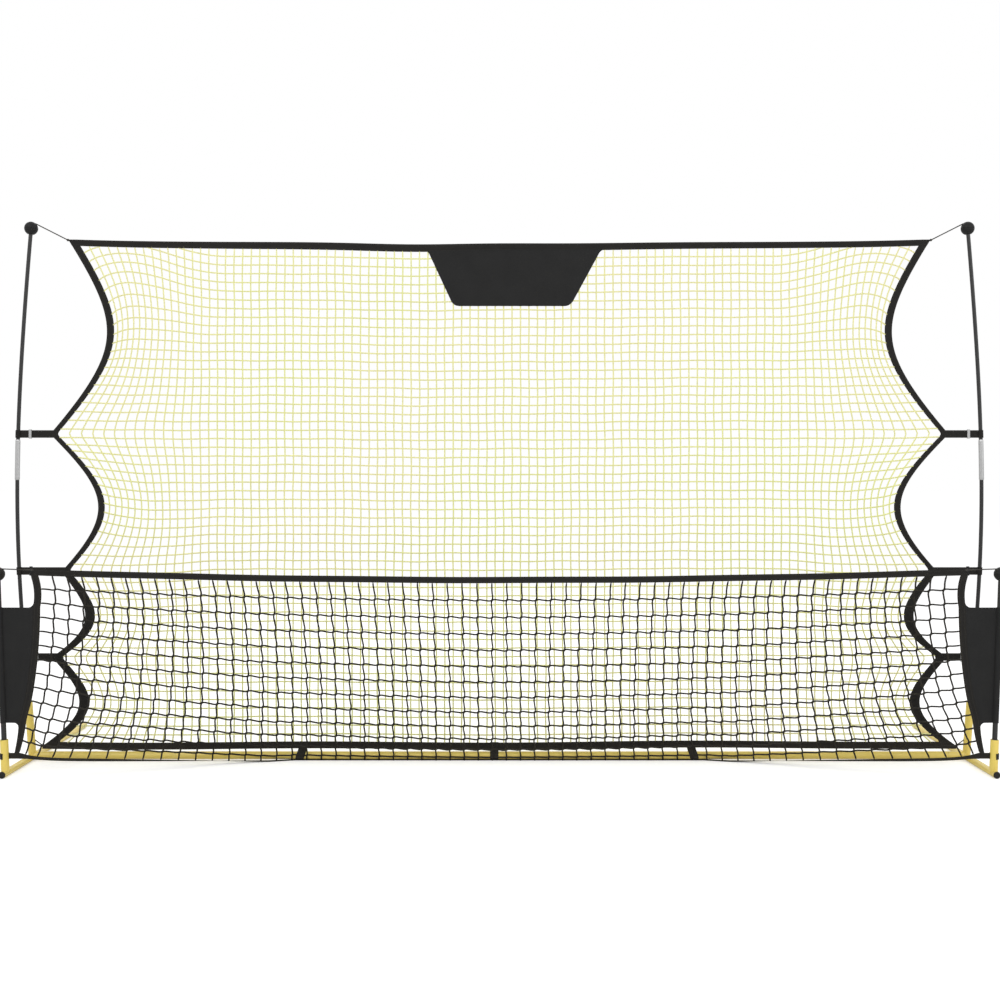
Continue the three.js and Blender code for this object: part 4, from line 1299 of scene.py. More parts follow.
@dataclass
class Poles:
    """The four poles, the two ferrules and the four caps."""

    finishes: Finishes
    joint: float = 1.1765
    joint_gap: float = 0.0004
    top_past_cap: float = 0.012
    ferrule_low: float = 1.097
    ferrule_high: float = 1.255
    ferrule_wall: float = 0.0018
    ferrule_gap: float = 0.0002
    ferrule_radius: float = 0.009
    ferrule_points: int = 41
    ferrule_corners: int = 32
    parting_depth: float = 0.0006
    cap_ease: float = 0.0002

    def build(self) -> None:
        """Builds every piece of the poles."""
        for side in Side:
            self.tall(side)
            self.low(side)

    def tall(self, side: Side) -> None:
        """A tall pole in two rods, with the ferrule over their joint and the cap on top.

        Args:
            side: The side it is on.
        """
        for name, low, high in (
            ("lower", LAYOUT.pole_foot, self.joint - self.joint_gap),
            ("upper", self.joint, BOW.cap[2] + self.top_past_cap),
        ):
            node = f"tall_pole_{name}_{side}"
            rod = rod_object(f"round_{node}", side.mirror(BOW.stretch(low, high)), TALL.pole_radius)
            dress(rod, self.finishes.rod, node)
        self.ferrule(side)
        self.cap(TALL, side, np.array(BOW.cap), BOW.tip_way)

    def ferrule(self, side: Side) -> None:
        """A sleeve over the joint, rolled in at both ends.

        Its wall is ferrule_wall * (0.35 + 0.65 * sqrt(d / 0.05)), d being the share of its half length from the
        nearer end, up to 0.05.

        Args:
            side: The side it is on.
        """
        count, corners = self.ferrule_points, self.ferrule_corners
        path = side.mirror(BOW.stretch(self.ferrule_low, self.ferrule_high, count))
        reach = np.linspace(-1.0, 1.0, count)
        rolled = np.clip((1 - np.abs(reach)) / 0.05, 0.0, 1.0) ** 0.5
        radius = TALL.pole_radius + self.ferrule_gap + self.ferrule_wall * (0.35 + 0.65 * rolled)
        rings = rings_on(path, round_section(1.0, corners)[None] * radius[:, None, None], BACK)
        shell = Shell().carried(rings, lengths(path), round_across(self.ferrule_radius, corners))
        node = f"tall_pole_ferrule_{side}"
        dress(shell.made(f"rolled_{node}"), self.finishes.ferrule, node)

    def low(self, side: Side) -> None:
        """A low pole and its cap.

        Args:
            side: The side it is on.
        """
        top = LOW.at(LAYOUT.low_cap_height)
        path = np.linspace(LOW.at(LAYOUT.pole_foot), top + LOW.way * LAYOUT.cap_hold, 24)
        node = f"low_pole_{side}"
        dress(rod_object(f"round_{node}", side.mirror(path), LOW.pole_radius), self.finishes.rod, node)
        self.cap(LOW, side, top, LOW.way)

    def cap(self, stand: Stand, side: Side, centre: Array, way: Array) -> None:
        """A ball cap, flat underneath with an eased edge, and a shallow parting line round its middle.

        Args:
            stand: Which pole it is on.
            side: The side it is on.
            centre: The ball's centre on the right side.
            way: The pole's unit direction there.
        """
        radius, cut = LAYOUT.cap_radius, LAYOUT.cap_cut
        low = -math.asin(cut / radius) + 0.05
        angle = np.concatenate([np.linspace(low, -0.06, 14), [-0.02, 0.0, 0.02], np.linspace(0.06, 1.54, 24)])
        groove = np.where(angle == 0.0, self.parting_depth, 0.0)
        ball = np.stack([radius * np.sin(angle), (radius - groove) * np.cos(angle)], axis=1)
        rim = ball[0, 1]
        foot = [[-cut, rim * 0.80], [-cut, rim * 0.95], [-cut + self.cap_ease, rim * 0.99]]
        shell = turned(Shell(), side.mirror(centre), side.mirror(way), np.concatenate([foot, ball]))
        node = f"{stand.name}_pole_cap_{side}"
        dress(shell.made(f"moulded_{node}"), self.finishes.plastic, node)


# ---- cords


def tie_cord(finishes: Finishes, node: str, start: Array, end: Array, side: Side) -> None:
    """A short tight cord with a knot at its net end.

    Args:
        finishes: The object's finishes.
        node: The CAD node that it stands for.
        start: Its net end on the right side.
        end: Its other end on the right side.
        side: The side it is on.
    """
    corners = 12
    knot_middle, knot_half, knot_radius, knot_end = 0.0060, 0.0050, 0.0048, 0.0002
    path = side.mirror(np.linspace(start, end, 14))
    rings = rings_on(path, round_section(CORD_RADIUS, corners), BACK)
    shell = Shell().carried(rings, lengths(path), round_across(CORD_RADIUS, corners))
    angle = np.linspace(-1.45, 1.45, 13)
    knot = np.stack([knot_middle + knot_half * np.sin(angle), knot_radius * np.cos(angle) + knot_end], axis=1)
    turned(shell, path[0], path[-1] - path[0], knot, 20)
    dress(shell.made(f"laid_{node}"), finishes.cord, node)


# ---- tall net


@dataclass
class TallNet:
    """The pale net with its scalloped borders, patch, ties and cords."""

    finishes: Finishes
    corners: tuple[float, ...] = (2.0395, 1.277, 0.740, 0.403, 0.043)
    halves: tuple[float, ...] = (1.690, 1.761, 1.715, 1.754, 1.808)
    depths: tuple[float, ...] = (0.186, 0.164, 0.112, 0.134)
    bends: tuple[float, ...] = (0.39, 0.53, 1.08, 0.70)
    skews: tuple[float, ...] = (1.02, 1.03, 1.17, 1.08)
    corner_half: float = 1.791
    thickness: float = 0.0030
    top_width: float = 0.027
    top_least: float = 0.0250
    top_swell: float = 0.0052
    dish: float = 0.0096
    dish_reach: float = 1.66
    dips: tuple[tuple[float, float, float], ...] = ((0.0088, -0.33, 0.28), (0.0050, 0.25, 0.35))
    bottom_width: float = 0.028
    bottom_slope: float = 0.0022
    bottom_swing: float = 0.0032
    bottom_pitch: float = 1.53
    bottom_reach: float = 1.8
    width_levels: tuple[float, ...] = (0.043, 0.700, 0.760, 1.277, 1.600, 2.0395)
    side_widths: tuple[float, ...] = (0.041, 0.039, 0.026, 0.027, 0.028, 0.033)
    pitch: float = 0.033
    cells: int = 99
    rows: int = 57
    even_cells: float = 32.5
    taper: float = 0.16
    tuck: float = 0.004
    ease: float = 0.010
    column_ease: float = 0.070
    wander: float = 0.0009
    arch: float = 0.088
    edge_drop: float = 0.050
    sag: float = 0.018
    edge_rise: float = 0.030
    tie_width: float = 0.030
    tie_thickness: float = 0.0022
    tie_lap: float = 0.030
    bar_straps: tuple[float, ...] = (-0.764, -0.020, 0.746)
    bar_strap_leans: tuple[float, ...] = (-0.28, 0.0, 0.28)
    bar_strap_width: float = 0.033
    bar_strap_thickness: float = 0.0012
    bar_strap_top: float = 0.069
    bar_strap_neck: float = 0.040
    bar_strap_wrap: float = 0.0009
    clear: float = 0.0005

    def build(self) -> None:
        """Builds every piece of the tall net."""
        self.mesh()
        self.top_border()
        self.bottom_border()
        self.patch()
        for side in Side:
            self.side_border(side)
            self.cords(side)
        for height, name in zip(self.corners[1:4], ("upper", "middle", "lower")):
            for side in Side:
                self.tie(height, name, side)

    def edge(self, height: Array) -> tuple[Array, Array]:
        """The outer edge, curving in between each two tied points as a hyperbola does.

        With t from 0 to 1 down a scallop and place = 2 * t^skew - 1, it lies in by
        depth * (sqrt(1 + bend) - sqrt(place^2 + bend)) / (sqrt(1 + bend) - sqrt(bend)).

        Args:
            height: The heights.

        Returns:
            The edge's x there, and how fast it grows with the height.
        """
        levels, halves = np.array(self.corners), np.array(self.halves)
        span = np.clip(np.searchsorted(-levels, -height, side="left") - 1, 0, 3)
        drop = levels[span] - levels[span + 1]
        t = np.clip((levels[span] - height) / drop, 0.0, 1.0)
        bend, skew = np.array(self.bends)[span], np.array(self.skews)[span]
        place = 2 * t**skew - 1
        reach = np.sqrt(place**2 + bend)
        scale = np.array(self.depths)[span] / (np.sqrt(1 + bend) - np.sqrt(bend))
        straight = halves[span + 1] - halves[span]
        x = halves[span] + straight * t - scale * (np.sqrt(1 + bend) - reach)
        slope = -(straight + scale * place * 2 * skew * t ** (skew - 1) / reach) / drop
        return x, slope

    def outer(self, height: Array) -> Array:
        """The side border's outer edge, its bottom corner cut off."""
        return np.minimum(self.edge(height)[0], self.corner_half)

    def inner(self, height: Array, extra: float = 0.0, ease: float | None = None) -> Array:
        """The side border's inner edge: the mean over nine heights of the outer edge's x less the width.

        Args:
            height: The heights.
            extra: A further inset, square to the edge.
            ease: How far up and down the nine heights reach, which rounds off the tied points.

        Returns:
            The x there.
        """
        ease = self.ease if ease is None else ease
        spread = np.linspace(-ease, ease, 9)
        sample = np.clip(np.asarray(height)[..., None] + spread, self.corners[-1], self.corners[0] - 1e-6)
        x, slope = self.edge(sample)
        inset = x - np.interp(sample, self.width_levels, self.side_widths) - extra * np.hypot(1.0, slope)
        return inset.mean(axis=-1)

    def top_drop(self, x: Array) -> Array:
        """How far the top border hangs: a shallow dish over the whole width and two dips at the patch.

        The dish is depth * (1 - (|x| / reach)^6), and each dip is depth * exp(-((x - place) / width)^2).

        Args:
            x: Places along it.

        Returns:
            The drops there.
        """
        drop = self.dish * (1 - np.minimum(np.abs(x) / self.dish_reach, 1.0) ** 6)
        for depth, place, width in self.dips:
            drop = drop + depth * np.exp(-(((x - place) / width) ** 2))
        return drop

    def bottom_wave(self, x: Array) -> Array:
        """How the bottom border rises and falls between its straps, and not at its corners."""
        wave = self.bottom_slope * x - self.bottom_swing * np.cos(CIRCLE * x / self.bottom_pitch)
        return wave * (1 - np.minimum(np.abs(x) / self.bottom_reach, 1.0) ** 4)

    def outward(self, c: Array) -> Array:
        """From 0 to 1 over the outer cells, and 0 in the even middle."""
        return np.clip((np.abs(c) - self.even_cells) / (self.cells / 2 - self.even_cells), 0.0, 1.0)

    def columns(self, c: Array, z: Array) -> Array:
        """The x of strings: even in the middle, and spread out or squeezed towards the scalloped edge.

        Beyond the even part x = start + reach * (a * s + (1 - a) * s^2), where s goes from 0 to 1 over the
        outer cells and a makes the first of them as wide as the even ones. Away from the border the reach
        follows its scallops with rounder points.

        Args:
            c: Column numbers, 0 in the middle.
            z: Heights.

        Returns:
            The x there.
        """
        start, s = self.even_cells * self.pitch, self.outward(c)
        border, rounder = self.inner(z, -self.tuck), self.inner(z, -self.tuck, self.column_ease)
        reach = rounder + (border - rounder) * s**3 - start
        a = (self.cells / 2 - self.even_cells) * self.pitch / reach
        far = start + reach * (a * s + (1 - a) * s**2)
        return np.sign(c) * np.where(np.abs(c) <= self.even_cells, np.abs(c) * self.pitch, far)

    def pull(self, c: Array, z: Array) -> Array:
        """How far the rows are pulled up out of their even heights z.

        With t from 0 to 1 down a scallop and s from 0 to 1 over the outer cells, they rise towards the top
        corner by arch * exp(-((t - 0.2) / 0.26)^2) * smooth(s / 0.82) and turn down next to the border. Below the
        upper ties they sag a little and turn up next to the border.

        Args:
            c: Column numbers, 0 in the middle.
            z: Even heights.

        Returns:
            How far the points there lie above them.
        """
        levels = np.array(self.corners)
        span = np.clip(np.searchsorted(-levels, -z, side="left") - 1, 0, 3)
        t = np.clip((levels[span] - z) / (levels[span] - levels[span + 1]), 0.0, 1.0)
        s, d = self.outward(c), (self.cells / 2 - np.abs(c)) * self.pitch
        rise = self.arch * np.exp(-((np.maximum(t - 0.2, 0.0) / 0.26) ** 2)) * smooth(s / 0.82)
        turn_down = self.edge_drop * (1 - smooth((t - 0.35) / 0.35)) * np.exp(-d / 0.085)
        sagging = np.select([span == 1, span == 2], [smooth(t), 1 - smooth(t)], 0.0)
        sag = self.sag * sagging * smooth(s / 0.6)
        held_up = np.where(span == 1, smooth(t / 0.25) * (1 - smooth((t - 0.68) / 0.2)), 0.0)
        turn_up = self.edge_rise * held_up * np.exp(-d / 0.12)
        return np.where(span == 0, rise - turn_down, turn_up - sag)

    def lattice(self, c: Array, r: Array) -> tuple[Array, Array]:
        """Points of the net.

        Its rows lie evenly between the borders before they are pulled, and each string wanders a little.

        Args:
            c: Column numbers, 0 in the middle.
            r: Row numbers from the bottom.

        Returns:
            The points, and how far each string point lies below the top border's lower edge.
        """
        share = r / self.rows
        widest = 1.62
        even = np.sign(c) * np.minimum(np.abs(c) * self.pitch, widest)
        hem = self.corners[0] - self.top_width - self.top_drop(even)
        low = self.corners[-1] + self.bottom_width - self.tuck + self.bottom_wave(even)
        flat = low + (hem + self.tuck - low) * share
        inside = np.clip(np.minimum(share, 1 - share) * 20, 0.0, 1.0)
        highest = hem + 0.009
        z = np.minimum(flat + self.pull(c, flat), highest)
        drift = np.sin(0.9 * c + 1.3 * np.sin(0.37 * r)) + 0.7 * np.sin(0.53 * c - 0.71 * r)
        sway = np.sin(0.8 * r + 1.1 * np.sin(0.43 * c)) + 0.7 * np.sin(0.61 * r + 0.49 * c)
        d = (self.cells / 2 - np.abs(c)) * self.pitch
        x = self.columns(c, flat + (z - flat) * self.outward(c) ** 2)
        x = x + self.wander * sway * np.clip(d / 0.05, 0.0, 1.0)
        z = z + self.wander * drift * inside
        return points_at(x, LAYOUT.bar_y, z), hem - z

    def strings(self, name: str, c: Array, r: Array, places: Array) -> None:
        """One piece of strings, thinner at their ends and where they run inside the top border.

        At a depth d below that border's edge the share of their thickness is 0.6 + d / 0.010, from a third to 1.

        Args:
            name: The piece's name.
            c: Column numbers, strings by places or of a shape that spreads to it.
            r: Row numbers, likewise.
            places: The places along each string, counted in cells.
        """
        paths, below = self.lattice(*np.broadcast_arrays(c, r))
        shown = np.clip(0.6 + below / 0.010, 1 / 3, 1.0)
        sections = string_sections(PALE_STRING, 4, places, self.taper) * shown[..., None, None]
        rings = rings_on(paths, sections, BACK)
        piece = Shell().carried(rings, lengths(paths[0]), round_across(PALE_STRING, 4)).made(name, SOFT_EDGE)
        dress(piece, self.finishes.pale_twine, "tall_net_mesh")

    def mesh(self) -> None:
        """The strings: uprights in one piece and levels in another, two stretches to a cell."""
        edge, taper = self.cells / 2, self.taper
        places = np.linspace(0, self.rows, self.rows * 2 + 1)
        places = np.insert(places, (1, -1), (taper, self.rows - taper))
        self.strings("tall_net_uprights", np.arange(-edge + 1, edge)[:, None], places[None], places)
        places = np.linspace(-edge, edge, self.cells * 2 + 1)
        places = np.insert(places, (1, -1), (taper - edge, edge - taper))
        self.strings("tall_net_levels", places[None], np.arange(1, self.rows)[:, None], places)

    def top_border(self) -> None:
        """The top border, whose width swells by top_swell * exp(-(x + 0.30)^2) towards the middle."""
        x = np.linspace(-self.halves[0], self.halves[0], 220)
        width = self.top_least + self.top_swell * np.exp(-((x + 0.30) ** 2))
        drop = self.top_drop(x)
        path = points_at(x, LAYOUT.bar_y, self.corners[0] - width / 2 - drop)
        self.band("tall_top_band", path, width, drop, "tall_net_top_border")

    def band(self, name: str, path: Array, width: Array, drop: Array, node: str) -> None:
        """A band of changing width, its width upright, whose ends follow the scalloped edge.

        Each corner moves sideways by x * edge / half, edge being the scalloped edge at the corner's height
        before the band hangs down, and half that edge at the band's end.

        Args:
            name: The piece's name.
            path: Its middle line.
            width: Its width at each point.
            drop: How far it hangs down at each point.
            node: The CAD node that it stands for.
        """
        sections = np.stack([strap_section(w, self.thickness) for w in width])
        rings = rings_on(path, sections, UP)
        edge = self.outer(np.clip(rings[..., 2] + drop[:, None], self.corners[-1], self.corners[0]))
        rings[..., 0] *= edge / path[-1, 0]
        shell = Shell().carried(rings, lengths(path), closed_across(sections[len(path) // 2]))
        dress(shell.made(name), self.finishes.webbing, node)

    def bottom_border(self) -> None:
        """The bottom border and the straps that go from it round the crossbar."""
        x = np.linspace(-self.corner_half, self.corner_half, 220)
        wave = self.bottom_wave(x)
        z = self.corners[-1] + self.bottom_width / 2 + wave
        path = points_at(x, LAYOUT.bar_y, z)
        self.band("tall_bottom_band", path, np.full_like(x, self.bottom_width), -wave, "tall_net_bottom_border")
        beside, radius = self.thickness / 2 + self.clear, LAYOUT.bar_radius + self.bar_strap_wrap
        top, neck = self.bar_strap_top, self.bar_strap_neck
        turn = np.radians(np.linspace(148.0, 392.0, 41))
        arc = np.stack([radius * np.cos(turn), LAYOUT.bar_axis + radius * np.sin(turn)], axis=1)
        front = np.stack([np.full(8, -beside), np.linspace(top, neck, 8)], axis=1)
        outline = np.concatenate([front, arc, front[::-1] * [-1.0, 1.0]])
        for number, (start, lean) in enumerate(zip(self.bar_straps, self.bar_strap_leans), 1):
            x = start + lean * (top - outline[:, 1])
            line = np.column_stack([x, LAYOUT.bar_y + outline[:, 0], outline[:, 1]])
            name = f"crossbar_strap_{number}"
            strap = strap_object(name, line, self.bar_strap_width, self.bar_strap_thickness, RIGHT)
            dress(strap, self.finishes.webbing, "tall_net_bottom_border")

    def side_border(self, side: Side) -> None:
        """A side border: its outer edge is the scalloped edge, its inner edge the eased inset.

        At a share of its width it is half_depth * (1 - |2 * share - 1|^12) thick on either side.

        Args:
            side: The side it is on.
        """
        half_depth, short, mean_width = 0.0014, 0.0005, 0.030
        even = np.linspace(self.corners[-1] + short, self.corners[0] - short, 340)
        height = np.unique(np.concatenate([even, self.corners[1:4]]))
        outer, inner = self.outer(height), self.inner(height)
        section = strap_section(1.0, 0.06)
        share = section[None, :, 0] + 0.5
        depth = np.sign(section[None, :, 1]) * half_depth * (1 - np.abs(share * 2 - 1) ** 12)
        x = side.value * (inner[:, None] + (outer - inner)[:, None] * share)
        rings = points_at(x, LAYOUT.bar_y - side.value * depth, height[:, None])
        middle = points_at((outer + inner) / 2, 0.0, height)
        across = (np.append(share[0], share[0, 0]) - 0.5) * mean_width
        shell = Shell().carried(rings, lengths(middle), across)
        node = f"tall_net_side_border_{side}"
        dress(shell.made(f"scalloped_band_{side}"), self.finishes.webbing, node)

    def tie(self, height: float, name: str, side: Side) -> None:
        """A strap from the border's tied point to the pole, and its loop round the pole.

        Args:
            height: The tied point's height.
            name: Which tie it is, as in its piece's name.
            side: The side it is on.
        """
        pole, way = BOW.at(height)
        start = float(self.edge(np.array(height))[0]) - self.tie_lap
        around, thickness, ease = TALL.pole_radius + self.clear, self.tie_thickness, 0.0006
        path = points_at(np.linspace(start, pole[0] - around - thickness / 4, 30), LAYOUT.bar_y, height)
        strap = strap_object(f"{name}_tie_{side}", side.mirror(path), self.tie_width, thickness, UP)
        node = f"tall_net_side_border_{side}"
        dress(strap, self.finishes.webbing, node)
        reach = self.tie_width / 2
        profile = tube_profile(self.tie_width, around + thickness, around, ease)
        shell = turned(Shell(), side.mirror(pole - way * reach), side.mirror(way), profile)
        dress(shell.made(f"{name}_tie_loop_{side}"), self.finishes.webbing, node)

    def patch(self) -> None:
        """The cloth patch: it tapers down, its lower corners are rounded and its upper ones flare out.

        At a share v of its height its sides lie in by corner * (1 - sqrt(1 - (1 - rise)^2)), rise going from 0
        to 1 over the corner, and out by flare_width * flare^2, flare going from 0 to 1 over the flare.
        """
        top_x, low_x = (-0.281, 0.399), (-0.180, 0.278)
        top, low, corner = 1.996, 1.778, 0.020
        flare_width, flare_height = 0.009, 0.014
        thickness, before_net, lift, billow = 0.0012, 0.0026, 0.018, 0.0006
        v = np.concatenate([np.linspace(0.0, 0.10, 12), np.linspace(0.12, 0.92, 22), np.linspace(0.93, 1.0, 9)])
        v = v[:, None]
        u = np.linspace(0.0, 1.0, 61)[None]
        left = low_x[0] + (top_x[0] - low_x[0]) * v
        right = low_x[1] + (top_x[1] - low_x[1]) * v
        rise = np.clip(v * (top - low) / corner, 0.0, 1.0)
        flare = np.clip(1 - (1 - v) * (top - low) / flare_height, 0.0, 1.0)
        cut = corner * (1 - np.sqrt(1 - (1 - rise) ** 2)) - flare_width * flare**2
        x = left + cut + (right - left - 2 * cut) * u
        z = low + (top - low) * v + 0 * u - self.top_drop(x) * v + lift * v
        belly = billow * np.sin(math.pi * u) * np.sin(7 * u + 5 * v)
        y = LAYOUT.bar_y - before_net - billow * np.abs(np.sin(math.pi * v)) - np.abs(belly)
        piece = panel_object("tall_net_cloth_patch", points_at(x, y, z), thickness, -BACK)
        dress(piece, self.finishes.cloth, "tall_net_patch")

    def cords(self, side: Side) -> None:
        """The cord from the top corner to the pole's cap, and the one from the bottom corner to the socket.

        Args:
            side: The side they are on.
        """
        corner = np.array([self.halves[0] - 0.004, LAYOUT.bar_y, self.corners[0] - 0.005])
        on_cap = np.array(BOW.cap) + [-0.017, 0.0, 0.0185]
        tie_cord(self.finishes, f"tall_top_cord_{side}", corner, on_cap, side)
        low = np.array([self.corner_half - 0.008, LAYOUT.bar_y, self.corners[-1] + 0.008])
        on_socket = TALL.at(0.084) - [LAYOUT.socket_radius - 0.001, 0.0, 0.0055]
        tie_cord(self.finishes, f"tall_bottom_cord_{side}", low, on_socket, side)


# ---- low net


@dataclass
class LowNet:
    """The black net between the low poles, with its borders, end panels, loops and cords."""

    finishes: Finishes
    top: float = 0.769
    top_sag: float = 0.029
    top_width: float = 0.024
    top_half: float = 1.730
    bottom: float = 0.088
    bottom_width: float = 0.022
    side_width: float = 0.025
    waist: float = 1.704
    side_foot: float = 0.017
    flare: float = 0.076
    bulge: float = 0.005
    bulge_height: float = 0.215
    bulge_reach: float = 0.050
    scallop: float = 0.008
    panel_top: float = 0.6262
    panel_bottom: float = 0.199
    flat_at: float = 0.900
    tucked_at: float = 0.800
    fall: float = 0.060
    steepness: float = 14.0
    cells: int = 63
    rows: int = 13
    steps: int = 8
    corners: int = 6
    wander: float = 0.0004
    billow: float = 0.0010
    tuck: float = 0.003
    side_slack: float = 0.0026
    level_slack: float = 0.0026
    fillet: float = 0.018
    flat_thickness: float = 0.0011
    ground_gap: float = 0.0012
    side_thickness: float = 0.0024
    lap: float = 0.001
    sleeve_radius: float = 0.0117
    sleeve_bore: float = 0.0099
    loop_height: float = 0.0765
    loop_radius: float = 0.0163
    loop_thickness: float = 0.0018
    loop_from: float = 185.0
    loop_to: float = -84.0

    def build(self) -> None:
        """Builds every piece of the low net."""
        self.mesh()
        self.top_border()
        self.bottom_border()
        for side in Side:
            self.side_border(side)
            self.end_panel(side)
            self.corner_loop(side)
            self.cord(side)

    @property
    def mesh_top(self) -> float:
        """Where the mesh ends under the top border."""
        return self.top - self.top_width

    def half(self, height: Array) -> Array:
        """Half width of the mesh: flared below the panel's top, slightly scalloped above it.

        Above, at a share u of the way up, it is waist + scallop * (u - 4 * u * (1 - u)). Below, at a share d of
        the way down, it is waist + flare * d^2, with a small bulge just above the panel's bottom.

        Args:
            height: The heights.

        Returns:
            The half widths there.
        """
        up = np.clip((height - self.panel_top) / (self.mesh_top - self.panel_top), 0.0, 1.0)
        down = np.clip((self.panel_top - height) / (self.panel_top - self.bottom), 0.0, 1.0)
        bulge = self.bulge * np.exp(-(((height - self.bulge_height) / self.bulge_reach) ** 2))
        return self.waist - 4 * self.scallop * up * (1 - up) + self.scallop * up + self.flare * down**2 + bulge

    def way_in(self, x: Array, end: float) -> Array:
        """The share of the way from the bottom corner to a half width further in."""
        corner = self.waist + self.flare
        return np.clip((corner - np.abs(x)) / (corner - end), 0.0, 1.0)

    def foot(self, x: Array) -> tuple[Array, Array]:
        """The bottom border's upper edge and the direction in which it hangs, at places x.

        Its middle falls evenly towards the ground and steeply next to the corner; in plan it goes straight
        back to the crossbar. On the way w it turns from upright to flat, half of it next to the corner:
        the turn is 90 degrees * (1 - exp(-w / 0.02) + w^1.5) / 2.

        Args:
            x: Places along it.

        Returns:
            The points of its upper edge, and the unit vectors down its width.
        """
        left = 1 - self.way_in(x, self.flat_at)
        turn = (1 - np.exp(-(1 - left) / 0.02) + (1 - left) ** 1.5) * math.pi / 4
        down = np.stack([0 * x, np.sin(turn), -np.cos(turn)], axis=-1)
        corner_fall = self.bottom - self.bottom_width / 2 - self.ground_gap - self.fall
        middle = self.ground_gap + self.fall * left + corner_fall * left**self.steepness
        before_bar = 0.0135
        y = LAYOUT.low_y + (LAYOUT.bar_y - before_bar - LAYOUT.low_y) * self.way_in(x, self.tucked_at)
        return points_at(x, y, middle - down[..., 2] * self.bottom_width / 2), down

    def drop(self, x: Array) -> Array:
        """How far the top border hangs down."""
        return self.top_sag * (1 - np.minimum((x / self.top_half) ** 2, 1.0))

    def lattice(self, c: Array, r: Array) -> Array:
        """Points of the net: straight between its bottom and top edges, with a little slack in each string.

        In the middle the rows lie closer near the ground: a share v of the rows reaches a share
        1.0414 * v * (1 - exp(-v / 0.31)) - 0.13 * v^3 * (1 - v) of the height. Towards the ends this fades
        by 0.85 * |u|^1.6.

        Args:
            c: Column numbers, 0 in the middle.
            r: Row numbers from the bottom.

        Returns:
            The points there.
        """
        u, v = c / (self.cells / 2), r / self.rows
        pulled = 1.0414 * v * (1 - np.exp(-v / 0.31)) - 0.13 * v**3 * (1 - v)
        v = v + (1 - 0.85 * np.abs(u) ** 1.6) * (pulled - v)
        low = self.foot(self.fanned(u, 0 * v) * float(self.half(np.array(self.bottom))))[0]
        top = self.mesh_top + self.tuck - self.drop(u * self.waist)
        z = low[..., 2] + (top - low[..., 2]) * v
        y = low[..., 1] + (LAYOUT.low_y - low[..., 1]) * v
        level = self.bottom + (self.mesh_top - self.bottom) * v
        x = self.fanned(u, v) * self.half(level)
        inside = np.clip(np.minimum(v, 1 - v) * self.rows, 0.0, 1.0) * np.clip((1 - np.abs(u)) * 30, 0.0, 1.0)
        sway = np.sin(2.1 * r + 1.7 * np.sin(1.9 * c)) + 0.8 * np.sin(3.7 * r - 1.3 * c)
        lift = np.sin(1.8 * c + 1.9 * np.sin(2.3 * r)) + 0.8 * np.sin(3.1 * c + 1.7 * r)
        x = x + (self.wander * sway + self.side_slack * self.slack(r)) * inside
        z = z + (self.wander * lift + self.level_slack * self.slack(c + self.cells / 2)) * inside
        y = y - self.billow * inside * (1 + np.sin(1.3 * c + 2.2 * r))
        return points_at(x, y, z)

    @staticmethod
    def fanned(u: Array, v: Array) -> Array:
        """A column's share of the half width at a share v of the height, from its even share u.

        Near the ends the columns fan out towards the ground, by 0.8 * |u|^9 * (1 - |u|) * (1 - v)^3; further
        in they lie up to half a hundredth wider at the top and narrower at the bottom.

        Args:
            u: The columns' even shares, -1 to 1.
            v: The shares of the height, 0 to 1.

        Returns:
            The shares of the half width.
        """
        fan = 0.8 * np.sign(u) * np.abs(u) ** 9 * (1 - np.abs(u)) * (1 - v) ** 3
        return u + fan + 0.005 * np.sin(4 * u) * (1 - u**2) * (2.4 * v - 1.4)

    @staticmethod
    def slack(place: Array) -> Array:
        """How a string strays from knot to knot: up soon after one, down just before the next.

        It is 0.85 * sin(turn) + 0.25 * sin(2 * turn), and the turn is a whole one from knot to knot.
        """
        turn = CIRCLE * place
        return 0.85 * np.sin(turn) + 0.25 * np.sin(2 * turn)

    def mesh(self) -> None:
        """The strings, the uprights in one piece and the levels in another, and a knot at each crossing."""
        edge = self.cells / 2
        places = np.linspace(0.0, self.rows, self.rows * self.steps + 1)
        uprights = self.strings(np.arange(-edge, edge + 1)[:, None], places[None], places)
        self.knots(uprights)
        places = np.linspace(-edge, edge, self.cells * self.steps + 1)
        levels = self.strings(places[None], np.arange(1, self.rows)[:, None], places)
        for name, shell in (("uprights", uprights), ("levels", levels)):
            dress(shell.made(f"low_net_{name}", SOFT_EDGE), self.finishes.black_twine, "low_net_mesh")

    def strings(self, c: Array, r: Array, places: Array) -> Shell:
        """Strings with thinner ends.

        Args:
            c: Column numbers, strings by places or of a shape that spreads to it.
            r: Row numbers, likewise.
            places: The places along each string, counted in cells.

        Returns:
            A new mesh of them.
        """
        paths = self.lattice(*np.broadcast_arrays(c, r))
        sections = string_sections(BLACK_STRING, self.corners, places, 1 / self.steps)
        across = round_across(BLACK_STRING, self.corners)
        return Shell().carried(rings_on(paths, sections, BACK), lengths(paths[0]), across)

    def knots(self, shell: Shell) -> None:
        """Small round knots where the strings cross: four rings of a ball, from 1.2 radians below its middle up.

        Args:
            shell: The mesh that they are added to.
        """
        c, r = np.meshgrid(np.arange(-self.cells / 2 + 1, self.cells / 2), np.arange(1, self.rows), indexing="ij")
        centres = self.lattice(c, r).reshape(-1, 1, 1, 3)
        radius, reach = BLACK_STRING * 1.4, 1.2
        angle = np.linspace(-reach, reach, 4)
        around = radius * np.cos(angle)[:, None, None] * round_section(1.0, self.corners)
        ball = points_at(around[..., 0], around[..., 1], radius * np.sin(angle)[:, None])
        shell.carried(centres + ball[None], radius * (angle + reach), round_across(radius, self.corners))

